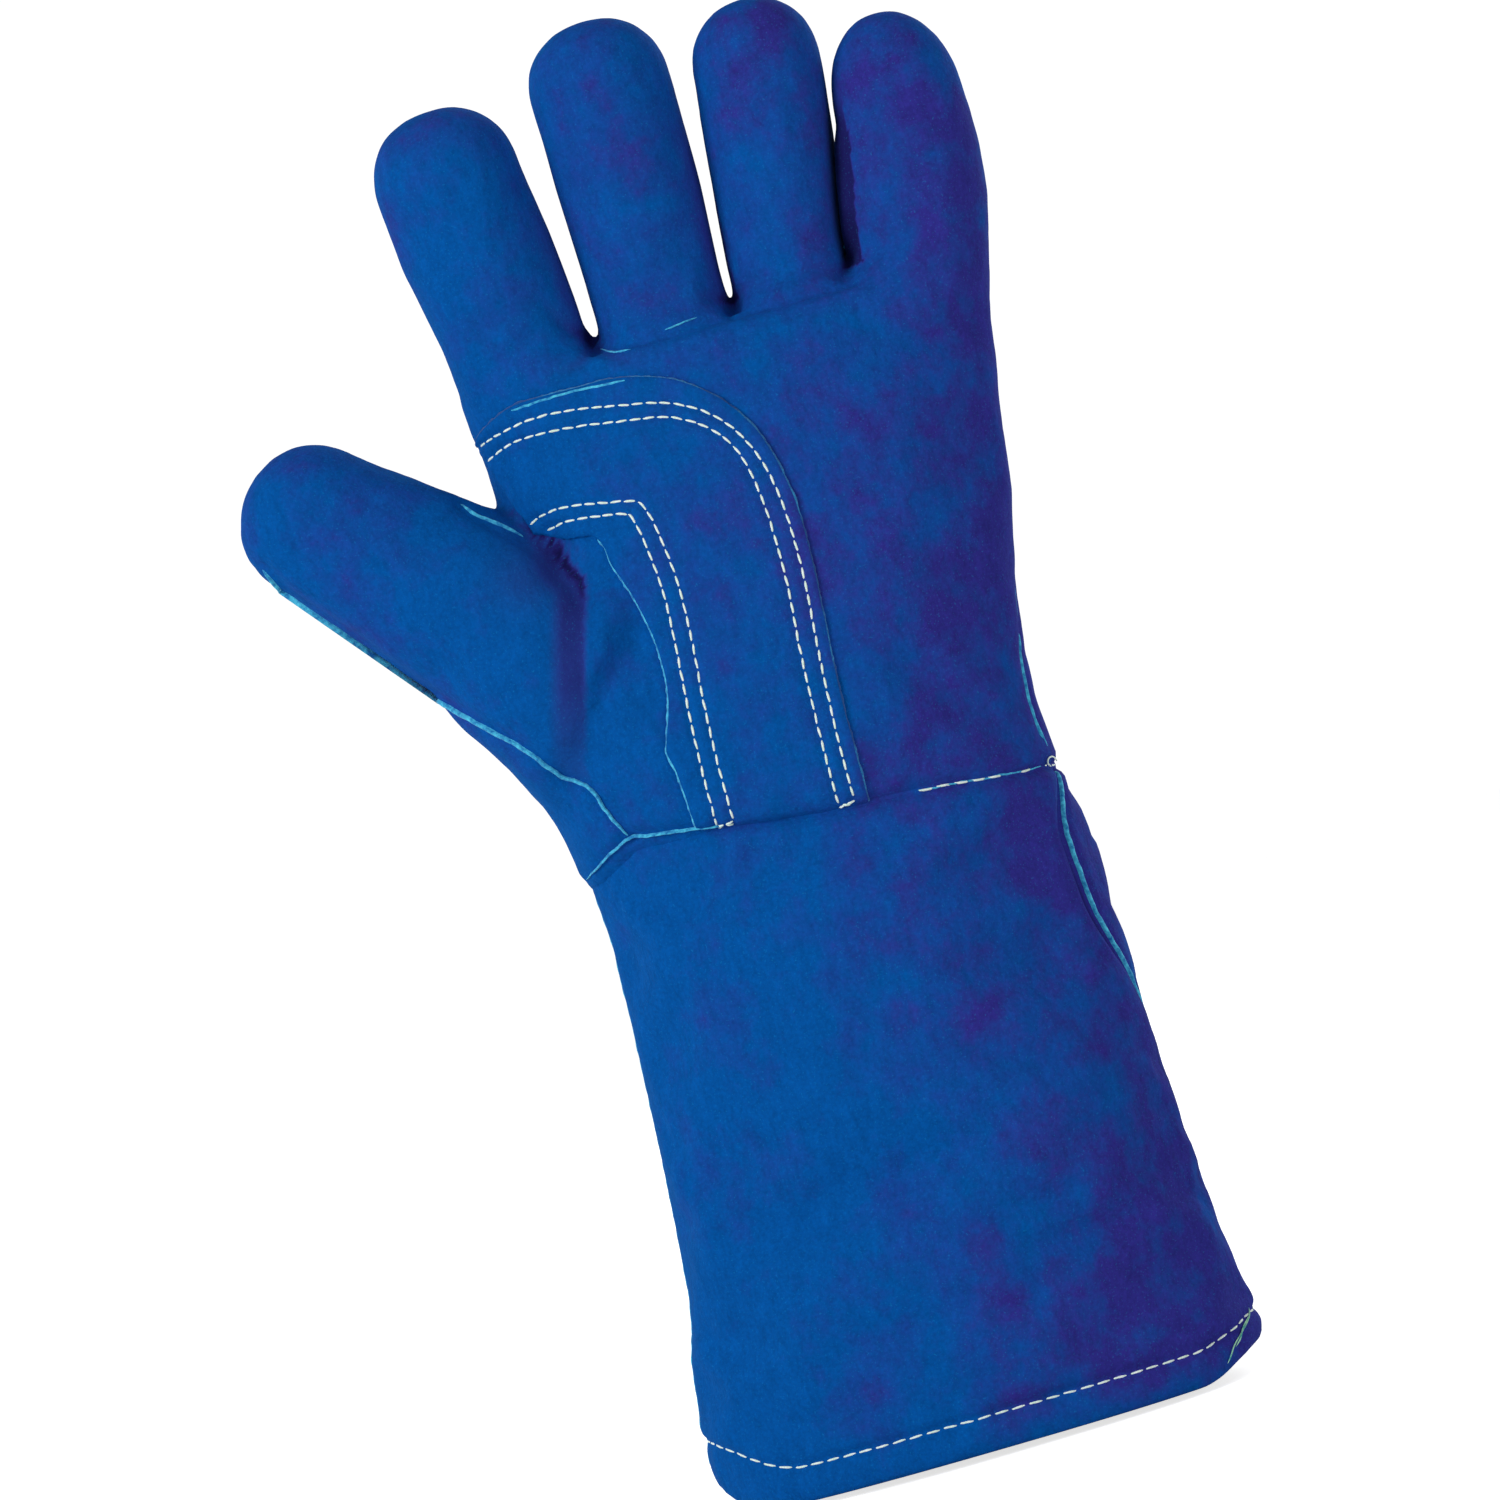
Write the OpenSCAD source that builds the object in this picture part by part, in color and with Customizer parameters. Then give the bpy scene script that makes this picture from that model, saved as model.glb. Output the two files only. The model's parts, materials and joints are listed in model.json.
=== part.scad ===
// Left-hand welding glove: leather panels, welts and lining, hinged where the leather bends.
// The glove stands on its cuff rim. +Z runs up to the fingertips, the palm faces -Y and the thumb
// points to -X. The origin is the centre of the hand opening, on the rim's plane.

/* [Cuff] */
// Width of the cuff at its rim
rim_w = 134; // [126:1:142]
// Depth of the cuff at its rim, from the palm side to the back
rim_d = 76; // [70:1:82]
// Height of the cuff, from the rim to the wrist seam
cuff_h = 157; // [150:1:160]
// Width of the glove at the wrist seam
wrist_w = 115.6; // [112:0.2:120]
// Depth of the glove at the wrist seam
wrist_d = 60; // [56:1:64]
// Height of the leather folded inwards at the rim
hem_h = 15; // [10:1:20]

/* [Hand] */
// Width of the palm just above the thumb
palm_w = 123.4; // [120:0.2:126]
// Depth of the palm just above the thumb
palm_d = 50; // [46:1:54]
// Height of the finger crotches above the rim
crotch_z = 281; // [279:1:283]

/* [Leather] */
// Thickness of the split leather
leather_t = 1.5; // [1.2:0.1:1.8]
// Thickness of the fleece lining
lining_t = 2; // [1.5:0.1:2.5]
// Thickness of the welt strips sewn into the side seams
welt_t = 1.6; // [1.2:0.1:2]
// How far a welt's raw edge stands out of its seam
welt_out = 1; // [0.5:0.1:1.5]
// Diameter of the sewing thread
thread_d = 0.8; // [0.6:0.1:1]

/* [Joints] */
// How far a finger bends at its knuckle
knuckle_max = 70; // [50:1:75]
// How far a finger bends back at its knuckle
knuckle_back = 10; // [0:1:12]
// How far a fingertip bends
tip_max = 65; // [45:1:70]
// How far the thumb swings across the palm
thumb_max = 40; // [30:1:45]
// How far the thumb swings back
thumb_back = 10; // [0:1:15]
// How far the hand bends towards the palm at the wrist
wrist_max = 45; // [30:1:50]
// How far the hand bends back at the wrist
wrist_back = 30; // [20:1:35]

/* [Hidden] */

leather_colour = "#17489a";
welt_colour = "#2f86c2";
lining_colour = "#d8d2c0";
thread_colour = "#d9e3ad";

far = 400;                      // longer than the glove, for half spaces
slot = welt_t / 2;              // the front and back leathers stop this far from the seam plane
gap = 0.2;                      // clearance between the leather and the lining
joint_gap = 1;                  // clearance in degrees where two pieces meet at a joint's limit
fold_gap = 0.1;                 // clearance between two pieces that meet on a hinge line
pivot_y = -5;                   // hinges sit this far to the palm side of a stall's middle
in_lining = leather_t + gap;            // inset of the lining's outer face
in_hollow = in_lining + lining_t;       // inset of the hollow that the hand fills
smooth = 32;
oval_smooth = 48;

// Cuff sections: height, middle, width and depth.
cuff_sections = [
    [0, -0.7, rim_w, rim_d],
    [30, -1.2, rim_w - 1, rim_d - 1],
    [62, 0.3, rim_w - 8.6, rim_d - 5],
    [104, 1.1, rim_w - 12.6, rim_d - 10],
    [cuff_h, 0.6, wrist_w, wrist_d]
];
// Hand sections below the fingers, in the same form.
hand_sections = [
    [cuff_h, 0.6, wrist_w, wrist_d],
    [198, 2.2, wrist_w + 2.8, wrist_d - 3],
    [241, 7.3, palm_w, palm_d]
];

// Fingers: middle at the crotch, middle at the tip's centre, height of the tip's centre, radius at the
// crotch, radius at the tip, height of the knuckle, height of the tip joint.
FX0 = 0; FX1 = 1; FZ1 = 2; FR0 = 3; FR1 = 4; FKNUCKLE = 5; FJOINT = 6;
index = [-39.8, -44.4, 328, 17, 17.8, 294, 318.5];
middle = [-2.8, -2.6, 339.2, 16.2, 17.2, 296, 323];
ring = [29.1, 34.4, 335, 14.6, 16.2, 294, 320];
little = [61.7, 66.6, 323, 17, 15.6, 292, 312.5];
fingers = [index, middle, ring, little];
knuckle_r = 18;                 // the palm's end rounding at the crotches, as wide as half its depth
between = 0.25;                 // how far a finger's welt may stand out towards its neighbour
base_rest = 4;                  // a finger's lean towards the palm at rest
tip_rest = 6;                   // a fingertip's further lean
front_cut = knuckle_max / 2 + joint_gap;        // how far the knuckle's edges are cut back
back_cut = knuckle_back / 2 + joint_gap;
joint_cut = (tip_max + tip_rest) / 2 + joint_gap;   // and those of the tip joint
fill = 0.3;                     // clearance in degrees of the leather that fills a fold

// Thumb: it leans out from the hand, with its own axis running from the root to the tip.
thumb_lean = 46;
thumb_at = [-62.5, -10, 223.7];
thumb_r0 = 21.5;
thumb_r1 = 17.8;
thumb_len = 50;                 // from the root to the centre of the tip
thumb_joint = 39;               // height of the tip joint along the thumb
thumb_start = 14;               // how far the thumb's own leather reaches below its root
thumb_swing_at = [-64, -14, 238];
thumb_swing_lean = 12;          // the swing axis leans this far from the vertical
thumb_cut = thumb_max / 2 + joint_gap;

module half_space(side) {
    // Everything on one side of the seam plane: -1 is the palm side, 1 is the back.
    translate([-far, side > 0 ? slot : -slot - far, -far])
        cube([2 * far, far, 2 * far]);
}

module seam_space() {
    // The thin space between the front and back leathers, where the welts are.
    translate([-far, -slot + 0.05, -far])
        cube([2 * far, 2 * slot - 0.1, 2 * far]);
}

module hinge_space(up, front, back) {
    // The space above (up = 1) or below (up = -1) a hinge on the X axis, cut back by an angle on the
    // palm side and on the back, so that two pieces can fold together there. A negative angle
    // reaches past the hinge, as a soft piece that fills the fold does.
    translate([-far / 2, 0, up * fold_gap / 2])
        rotate([90, 0, 90])
            linear_extrude(far)
                polygon([[0, 0], [-far, up * far * tan(front)], [-far, up * 2 * far],
                         [far, up * 2 * far], [far, up * far * tan(back)]]);
}

module oval(section, inset, grow = 0) {
    // One thin oval slice. grow stretches it past its own height, so that a hollow runs through.
    translate([section[1], 0, section[0] + grow])
        linear_extrude(0.01)
            scale([section[2] / 2 - inset, section[3] / 2 - inset])
                circle(1, $fn = oval_smooth);
}

module oval_body(sections, inset, below = 0, above = 0) {
    last = len(sections) - 1;
    for (i = [0 : last - 1])
        hull() {
            oval(sections[i], inset, i == 0 ? -below : 0);
            oval(sections[i + 1], inset, i == last - 1 ? above : 0);
        }
}

// ---- Cuff ----

module cuff_body(inset) {
    oval_body(cuff_sections, inset, inset > 0 ? 1 : 0, inset > 0 ? 1 : 0);
}

module wrist_side(up, spare = joint_gap) {
    // up = -1 is the cuff's side of the wrist hinge, and 1 is the hand's side.
    translate([0, pivot_y, cuff_h])
        hinge_space(up, wrist_max / 2 + spare, wrist_back / 2 + spare);
}

module cuff_panel(side) {
    // One side of the cuff. The leather is folded inwards at the rim, so it is double there.
    color(leather_colour)
        intersection() {
            difference() {
                cuff_body(0);
                difference() {
                    cuff_body(leather_t);
                    translate([-far / 2, -far / 2, 0])
                        cube([far, far, hem_h]);
                }
                cuff_body(2 * leather_t);
            }
            half_space(side);
            wrist_side(-1);
        }
}

module cuff_welts() {
    color(welt_colour)
        intersection() {
            difference() {
                cuff_body(-welt_out);
                cuff_body(leather_t);
            }
            seam_space();
            wrist_side(-1);
            translate([-far / 2, -far / 2, 1])
                cube([far, far, far]);
        }
}

module cuff_lining() {
    color(lining_colour)
        intersection() {
            difference() {
                cuff_body(in_lining);
                cuff_body(in_hollow);
            }
            wrist_side(-1);
            translate([-far / 2, -far / 2, hem_h + gap])
                cube([far, far, far]);
        }
}

module cuff_band(bottom, height, out) {
    intersection() {
        difference() {
            cuff_body(-out);
            cuff_body(-0.02);
        }
        translate([-far / 2, -far / 2, bottom])
            cube([far, far, height]);
    }
}

module hem_stitching() {
    // The row of thread that holds the folded rim, above the edge on both sides of the cuff.
    color(thread_colour)
        difference() {
            cuff_band(9, thread_d, thread_d / 2);
            translate([-far / 2, -slot - 1, -1])
                cube([far, 2 * slot + 2, far]);
        }
}

module wrist_welt() {
    // The soft strip of leather in the seam between cuff and hand. It fills the fold of the wrist.
    color(welt_colour)
        difference() {
            union() {
                cuff_body(0);
                hand_body(0);
            }
            cuff_body(leather_t);
            hand_body(leather_t);
            wrist_side(-1, joint_gap - 0.3);
            wrist_side(1, joint_gap - 0.3);
        }
}

// ---- Hand ----

module finger_cone(f, inset, below = 0) {
    // A finger stall: a cone along the finger's lean, closed by a round tip. It can start lower.
    rise = f[FZ1] - crotch_z;
    lean = atan((f[FX1] - f[FX0]) / rise);
    length = rise / cos(lean);
    slimmer = below * (f[FR1] - f[FR0]) / length;
    translate([f[FX0], 0, crotch_z])
        rotate([0, lean, 0]) {
            translate([0, 0, -below])
                cylinder(h = length + below, r1 = f[FR0] - slimmer - inset,
                         r2 = f[FR1] - inset, $fn = smooth);
            translate([0, 0, length])
                sphere(f[FR1] - inset, $fn = smooth);
        }
}

module knuckle_root(inset) {
    // The palm narrowing to the row of fingers.
    hull() {
        oval(hand_sections[2], inset);
        for (f = [index, little])
            translate([f[FX0], 0, crotch_z - inset - 1])
                cylinder(h = 1, r = knuckle_r - inset, $fn = smooth);
    }
}

module thumb_frame() {
    translate(thumb_at)
        rotate([0, -thumb_lean, 0])
            children();
}

module thumb_root(inset) {
    // The base of the thumb, growing out of the hand's edge and the heel of the palm.
    hull() {
        thumb_frame()
            cylinder(h = 0.01, r = thumb_r0 - inset, $fn = smooth);
        translate([-34.4, 0, cuff_h + 3])
            cylinder(h = 1, r = 19 - inset, $fn = smooth);
        translate([-33, -1, 226])
            cylinder(h = 1, r = 17 - inset, $fn = smooth);
    }
}

module thumb_cone(inset, below = 0) {
    // The thumb's stall, started this far below its root.
    wider = below * (thumb_r0 - thumb_r1) / thumb_len;
    thumb_frame() {
        translate([0, 0, -below])
            cylinder(h = thumb_len + below, r1 = thumb_r0 + wider - inset,
                     r2 = thumb_r1 - inset, $fn = smooth);
        translate([0, 0, thumb_len])
            sphere(thumb_r1 - inset, $fn = smooth);
    }
}

module hand_body(inset) {
    oval_body(hand_sections, inset, inset > 0 ? 1 : 0);
    knuckle_root(inset);
    for (f = fingers)
        finger_cone(f, inset, inset + 4);
    thumb_root(inset);
    thumb_cone(inset + 0.2, 2);
}

module thumb_swing_frame() {
    // The thumb's swing hinge, turned so that its axis runs along X and the thumb points along +Z.
    translate(thumb_swing_at)
        rotate([0, thumb_swing_lean, 0])
            rotate([0, -90, 0])
                children();
}

module hand_space() {
    // What belongs to the hand: above the wrist, below each knuckle, and inside the thumb's hinge.
    intersection() {
        wrist_side(1);
        union() {
            translate([-far, -far, 0])
                cube([2 * far, 2 * far, crotch_z - 0.01]);
            for (f = fingers)
                intersection() {
                    translate([0, pivot_y, f[FKNUCKLE]])
                        hinge_space(-1, front_cut, back_cut);
                    translate([f[FX0] - 25, -far / 2, crotch_z - 2])
                        cube([50, far, 30]);
                    finger_cone(f, -between, 8);
                }
        }
        thumb_side(-1);
    }
}

module thumb_side(out) {
    // out = 1 is the thumb's side of its swing hinge, and -1 is the hand's side.
    thumb_swing_frame()
        hinge_space(out, thumb_cut, thumb_back / 2 + joint_gap);
}

module thumb_fold_side() {
    // The thumb's side with the fold filled on the palm side.
    thumb_swing_frame()
        hinge_space(1, fill - thumb_cut, thumb_back / 2 + joint_gap);
}

module hand_shell(outer, inner) {
    intersection() {
        difference() {
            hand_body(outer);
            hand_body(inner);
        }
        hand_space();
    }
}

module hand_panel(side) {
    color(leather_colour)
        intersection() {
            hand_shell(0, leather_t);
            half_space(side);
        }
}

module hand_welts() {
    color(welt_colour)
        intersection() {
            hand_shell(-welt_out, leather_t);
            seam_space();
        }
}

module hand_lining() {
    color(lining_colour)
        hand_shell(in_lining, in_hollow);
}

// ---- Palm patch ----

// The patch bends round from the index side of the palm down to the wrist seam.
patch_top = 271;                // height of its upper edge on the index side
patch_right = 14;               // its outer edge across the palm
patch_inner = -29;              // its inner edge, beside the thumb
patch_arm = 236;                // height of its lower edge on the index side
patch_left = -57;
patch_corner = 28;

module rounded_corner(right, top, radius) {
    // A quarter of the palm plane, below and to the left of one rounded corner.
    hull() {
        translate([right - radius, top - radius])
            circle(radius, $fn = 2 * smooth);
        translate([patch_left - 60, cuff_h - 60])
            square([right - patch_left + 60, 1]);
        translate([patch_left - 60, cuff_h - 60])
            square([1, top - cuff_h + 60]);
    }
}

module patch_outline(inset = 0) {
    intersection() {
        difference() {
            rounded_corner(patch_right - inset, patch_top - inset, patch_corner);
            rounded_corner(patch_inner + inset, patch_arm + inset, patch_corner / 4);
        }
        translate([patch_left, cuff_h + 1])
            square([80, 120]);
    }
}

module on_palm(outer, inner) {
    // A layer on the palm leather, as far as the palm plane's outline in the children reaches.
    intersection() {
        difference() {
            hand_body(outer);
            hand_body(inner);
        }
        hand_space();
        half_space(-1);
        rotate([90, 0, 0])
            linear_extrude(far)
                children();
    }
}

module palm_patch() {
    color(leather_colour)
        on_palm(-leather_t, -0.02)
            patch_outline();
}

module stitch_row(inset) {
    // A closed row of thread inside the patch's edge, inset by this much.
    difference() {
        patch_outline(inset);
        patch_outline(inset + thread_d);
    }
}

module patch_stitching() {
    color(thread_colour)
        on_palm(-leather_t - thread_d / 2, -leather_t - 0.02)
            for (inset = [4, 8])
                stitch_row(inset);
}

// ---- Finger segments ----

module turn_at(y, z, angle) {
    translate([0, y, z])
        rotate([angle, 0, 0])
            translate([0, -y, -z])
                children();
}

module finger_span(f, tip, soft) {
    // The length of stall that one segment takes: the base, or the tip when tip is true. A soft base
    // reaches into the folds at both of its ends.
    if (tip)
        translate([0, pivot_y, f[FJOINT]])
            hinge_space(1, joint_cut, joint_gap - tip_rest);
    else
        intersection() {
            translate([0, pivot_y, f[FKNUCKLE]])
                hinge_space(1, soft ? base_rest + fill - front_cut : front_cut + base_rest,
                            back_cut - base_rest);
            translate([0, pivot_y, f[FJOINT]])
                hinge_space(-1, soft ? tip_rest + fill - joint_cut : joint_cut, joint_gap);
        }
}

module finger_shell(f, outer, inner, tip, soft = false) {
    // One segment of a stall's wall between two insets.
    intersection() {
        difference() {
            finger_cone(f, outer);
            finger_cone(f, inner);
        }
        finger_span(f, tip, soft);
    }
}

module finger_place(f, tip) {
    turn_at(pivot_y, f[FKNUCKLE], base_rest)
        turn_at(pivot_y, f[FJOINT], tip ? tip_rest : 0)
            children();
}

module finger_panel(f, tip, side) {
    color(leather_colour)
        finger_place(f, tip)
            intersection() {
                finger_shell(f, 0, leather_t, tip, side < 0);
                half_space(side);
            }
}

module finger_welt(f, tip) {
    color(welt_colour)
        finger_place(f, tip)
            intersection() {
                finger_shell(f, -between, leather_t, tip);
                seam_space();
            }
}

module finger_lining(f, tip) {
    color(lining_colour)
        finger_place(f, tip)
            finger_shell(f, in_lining, in_hollow, tip);
}

// ---- Thumb segments ----

module thumb_shell(outer, inner, tip, soft = false) {
    intersection() {
        difference() {
            thumb_cone(outer, thumb_start);
            thumb_cone(inner, thumb_start + 1);
        }
        thumb_frame()
            translate([0, pivot_y, thumb_joint])
                if (tip)
                    hinge_space(1, joint_cut, joint_gap - tip_rest);
                else
                    hinge_space(-1, soft ? tip_rest + fill - joint_cut : joint_cut, joint_gap);
        if (!tip && soft)
            thumb_fold_side();
        if (!tip && !soft)
            thumb_side(1);
    }
}

module thumb_place(tip) {
    thumb_frame()
        turn_at(pivot_y, thumb_joint, tip ? tip_rest : 0)
            rotate([0, thumb_lean, 0])
                translate(-thumb_at)
                    children();
}

module thumb_panel(tip, side) {
    color(leather_colour)
        thumb_place(tip)
            intersection() {
                thumb_shell(0, leather_t, tip, side < 0);
                translate([0, thumb_at[1], 0])
                    half_space(side);
            }
}

module thumb_welt(tip) {
    color(welt_colour)
        thumb_place(tip)
            intersection() {
                thumb_shell(-between, leather_t, tip);
                translate([0, thumb_at[1], 0])
                    seam_space();
            }
}

module thumb_lining(tip) {
    color(lining_colour)
        thumb_place(tip)
            thumb_shell(in_lining, in_hollow, tip);
}

cuff_panel(-1);  // cuff_front
cuff_panel(1);  // cuff_back
cuff_welts();
cuff_lining();
hem_stitching();
wrist_welt();
hand_panel(-1);  // palm_leather
hand_panel(1);  // back_leather
hand_welts();
hand_lining();
palm_patch();
patch_stitching();
finger_panel(index, false, -1);  // index_base_front
finger_panel(index, false, 1);  // index_base_back
finger_welt(index, false);  // index_base_welts
finger_lining(index, false);  // index_base_lining
finger_panel(index, true, -1);  // index_tip_front
finger_panel(index, true, 1);  // index_tip_back
finger_welt(index, true);  // index_tip_welt
finger_lining(index, true);  // index_tip_lining
finger_panel(middle, false, -1);  // middle_base_front
finger_panel(middle, false, 1);  // middle_base_back
finger_welt(middle, false);  // middle_base_welts
finger_lining(middle, false);  // middle_base_lining
finger_panel(middle, true, -1);  // middle_tip_front
finger_panel(middle, true, 1);  // middle_tip_back
finger_welt(middle, true);  // middle_tip_welt
finger_lining(middle, true);  // middle_tip_lining
finger_panel(ring, false, -1);  // ring_base_front
finger_panel(ring, false, 1);  // ring_base_back
finger_welt(ring, false);  // ring_base_welts
finger_lining(ring, false);  // ring_base_lining
finger_panel(ring, true, -1);  // ring_tip_front
finger_panel(ring, true, 1);  // ring_tip_back
finger_welt(ring, true);  // ring_tip_welt
finger_lining(ring, true);  // ring_tip_lining
finger_panel(little, false, -1);  // little_base_front
finger_panel(little, false, 1);  // little_base_back
finger_welt(little, false);  // little_base_welts
finger_lining(little, false);  // little_base_lining
finger_panel(little, true, -1);  // little_tip_front
finger_panel(little, true, 1);  // little_tip_back
finger_welt(little, true);  // little_tip_welt
finger_lining(little, true);  // little_tip_lining
thumb_panel(false, -1);  // thumb_base_front
thumb_panel(false, 1);  // thumb_base_back
thumb_welt(false);  // thumb_base_welts
thumb_lining(false);  // thumb_base_lining
thumb_panel(true, -1);  // thumb_tip_front
thumb_panel(true, 1);  // thumb_tip_back
thumb_welt(true);  // thumb_tip_welt
thumb_lining(true);  // thumb_tip_lining
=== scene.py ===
"""A welding glove in suede split leather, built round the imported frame. Lengths are in millimetres
until a mesh is made. +Z runs to the fingertips, the palm faces -Y and the thumb points to -X."""

import itertools
import json
import math

import bpy
import numpy as np
from mathutils import Matrix, Vector, noise
from mathutils.bvhtree import BVHTree


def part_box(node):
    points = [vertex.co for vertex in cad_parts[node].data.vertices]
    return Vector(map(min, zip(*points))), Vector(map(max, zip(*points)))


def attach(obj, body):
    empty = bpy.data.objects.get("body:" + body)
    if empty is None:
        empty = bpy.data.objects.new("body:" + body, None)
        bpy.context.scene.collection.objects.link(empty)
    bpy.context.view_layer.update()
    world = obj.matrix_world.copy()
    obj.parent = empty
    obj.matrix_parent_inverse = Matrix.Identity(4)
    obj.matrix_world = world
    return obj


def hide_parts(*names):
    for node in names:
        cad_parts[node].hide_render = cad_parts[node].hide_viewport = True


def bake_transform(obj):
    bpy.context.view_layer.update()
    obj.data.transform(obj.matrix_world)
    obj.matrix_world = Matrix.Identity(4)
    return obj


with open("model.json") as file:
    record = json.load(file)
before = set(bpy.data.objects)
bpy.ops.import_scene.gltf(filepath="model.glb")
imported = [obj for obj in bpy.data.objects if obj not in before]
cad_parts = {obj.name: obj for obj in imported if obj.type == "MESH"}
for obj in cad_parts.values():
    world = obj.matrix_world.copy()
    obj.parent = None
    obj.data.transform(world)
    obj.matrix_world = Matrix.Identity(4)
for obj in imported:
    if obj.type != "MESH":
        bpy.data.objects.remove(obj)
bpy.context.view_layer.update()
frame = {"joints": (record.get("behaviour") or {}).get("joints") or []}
JOINTS = {j["name"]: j for j in frame["joints"]}
MM = 0.001
FINGERS = ("index", "middle", "ring", "little")


def joint_at(name):
    return np.array(JOINTS[name]["pos_m"]) / MM


def box(node):
    lo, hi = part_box(node)
    return np.array(lo) / MM, np.array(hi) / MM


# ---------------------------------------------------------------- small maths


def smooth(x, a, b):
    t = np.clip((np.asarray(x, float) - a) / (b - a), 0, 1)
    return t * t * (3 - 2 * t)


def smin(a, b, k):
    """The lower of two fields, rounded over a width k."""
    h = np.clip(0.5 + 0.5 * (b - a) / k, 0, 1)
    return b + (a - b) * h - k * h * (1 - h)


def curve(points, n=0, step=0.0):
    """A smooth path through points, evenly sampled."""
    p = np.array(points, float)
    ext = np.vstack([2 * p[0] - p[1], p, 2 * p[-1] - p[-2]])
    out = []
    for i in range(len(p) - 1):
        a, b, c, d = ext[i : i + 4]
        t = np.linspace(0, 1, 24, endpoint=False)[:, None]
        out.append(
            0.5
            * (
                2 * b
                + (c - a) * t
                + (2 * a - 5 * b + 4 * c - d) * t**2
                + (3 * b - a - 3 * c + d) * t**3
            )
        )
    fine = np.vstack(out + [p[-1:]])
    s = np.r_[0, np.cumsum(np.linalg.norm(np.diff(fine, axis=0), axis=1))]
    n = n or max(2, int(round(s[-1] / step)) + 1)
    at = np.linspace(0, s[-1], n)
    return np.stack([np.interp(at, s, fine[:, k]) for k in range(fine.shape[1])], 1)


def path_distance(q, path):
    """Distance of points q from a path, and how far along it the nearest place is (0 to 1)."""
    a, b = path[:-1], path[1:]
    best = np.full(len(q), 1e9)
    along = np.zeros(len(q))
    for i in range(len(a)):
        d = b[i] - a[i]
        t = np.clip(((q - a[i]) @ d) / max(d @ d, 1e-12), 0, 1)
        r = np.linalg.norm(q - (a[i] + t[:, None] * d), axis=1)
        closer = r < best
        best[closer] = r[closer]
        along[closer] = (i + t[closer]) / len(a)
    return best, along


def wander(points, size, seed, octaves=1):
    """Smooth noise at each point, from about -1 to 1."""
    out = np.zeros(len(points))
    gain = 1.0
    for o in range(octaves):
        q = points / size * (2.0**o)
        out += gain * np.array([noise.noise(Vector((x + seed, y - seed, z + 2 * seed))) for x, y, z in q])
        gain *= 0.5
    return out


# ---------------------------------------------------------------- the glove's outline

# Left and right edges, half depth and squareness of the cuff and palm, against height.
EDGE_Z = (0, 10, 30, 40, 50, 60, 80, 100, 120, 140, 157, 170, 180, 200, 220, 240, 260, 270, 290)
EDGE_LEFT = (-68.8, -68.9, -66.7, -64.3, -62.8, -62.1, -60.6, -59.2, -57.8, -57.1, -58.2,
             -56.5, -56, -55.5, -55, -54.5, -54.8, -55.2, -57)
EDGE_RIGHT = (68.2, 67.8, 65.0, 64.3, 63.9, 63.2, 62.6, 62.5, 61.5, 60.2, 58.9,
              58, 58.6, 61.9, 66.3, 69.4, 73.0, 75.9, 79.8)
DEPTH_Z = (0, 60, 104, 157, 198, 241, 270, 290)
HALF_DEPTH = (37.5, 35, 32.5, 29.5, 27.5, 24, 19.5, 17)


def left_edge(z):
    return np.interp(z, EDGE_Z, EDGE_LEFT)


def right_edge(z):
    return np.interp(z, EDGE_Z, EDGE_RIGHT)


def half_depth(z):
    return np.interp(z, DEPTH_Z, HALF_DEPTH)


def squareness(z):
    return 2.2 + 0.4 * smooth(z, 140, 230)


def oval_field(p):
    x, y, z = p.T
    lo, hi = left_edge(z), right_edge(z)
    a, b, e = (hi - lo) / 2, half_depth(z), squareness(z)
    u = np.abs((x - (lo + hi) / 2) / a)
    v = np.abs(y / b)
    g = (u**e + v**e) ** (1 / e)
    # scale by the local slope, so that the field is close to a distance
    return (g - 1) * (a * b / np.sqrt((b * u) ** 2 + (a * v) ** 2 + 1e-6) * (g + 1e-6)) ** 1.0


class Stall:
    """A leather tube with a closed tip: a finger, or the thumb."""

    def __init__(self, s, centre, half, end, depth, square, place):
        self.s, self.centre, self.half, self.end = s, centre, half, end
        self.depth, self.square, self.place = depth, square, place

    def field(self, p):
        u, v, s = self.place(p)
        top = self.s[-1]
        c = np.interp(s, self.s, self.centre)
        a = np.interp(s, self.s, self.half)
        rise = np.maximum(s - top, 0) / (self.end - top)
        e = self.square
        g = (np.abs((u - c) / a) ** e + np.abs(v / (a * self.depth)) ** e + rise**e) ** (1 / e)
        return smin_high((g - 1) * a * (1 - 0.5 * (1 - self.depth)), self.s[0] - s, 6)


def rest_bow(z, name):
    """How far a finger's middle lies towards the palm at rest, as its joints' places show."""
    k, t = joint_at(name + "_knuckle"), joint_at(name + "_tip_bend")
    lean = (k[1] - t[1]) / (t[2] - k[2])
    return -lean * np.maximum(z - k[2] + 4, 0) - 1.4 * lean * np.maximum(z - t[2] + 4, 0)


def finger(name, s, centre, half, end, square=2.25, depth=0.95):
    def place(p):
        return p[:, 0], p[:, 1] - rest_bow(p[:, 2], name), p[:, 2]

    return Stall(s, centre, half, end, depth, square, place)


CROTCH = 281.0
STALLS = {
    "index": finger("index", (262, 290, 310, 327), (-37.6, -39.4, -42.1, -44.0), (16.5, 17.6, 18.4, 18.0), 345.1),
    "middle": finger("middle", (262, 290, 310, 339), (-3, -3.0, -2.5, -2.5), (16, 16.3, 17.1, 17.4), 355.5, 2.2),
    "ring": finger("ring", (262, 290, 310, 319, 334), (28, 30.1, 33.1, 33.9, 35.3), (14.4, 15.3, 16.2, 16.1, 15.7), 350.3, 2.12),
    "little": finger("little", (264, 277, 290, 302, 310, 315), (56.5, 60.2, 61.9, 63.6, 64.7, 65.8),
                     (16.6, 17.6, 18.9, 18.5, 17.6, 16.1), 338.2, 2.1),
}
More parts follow.
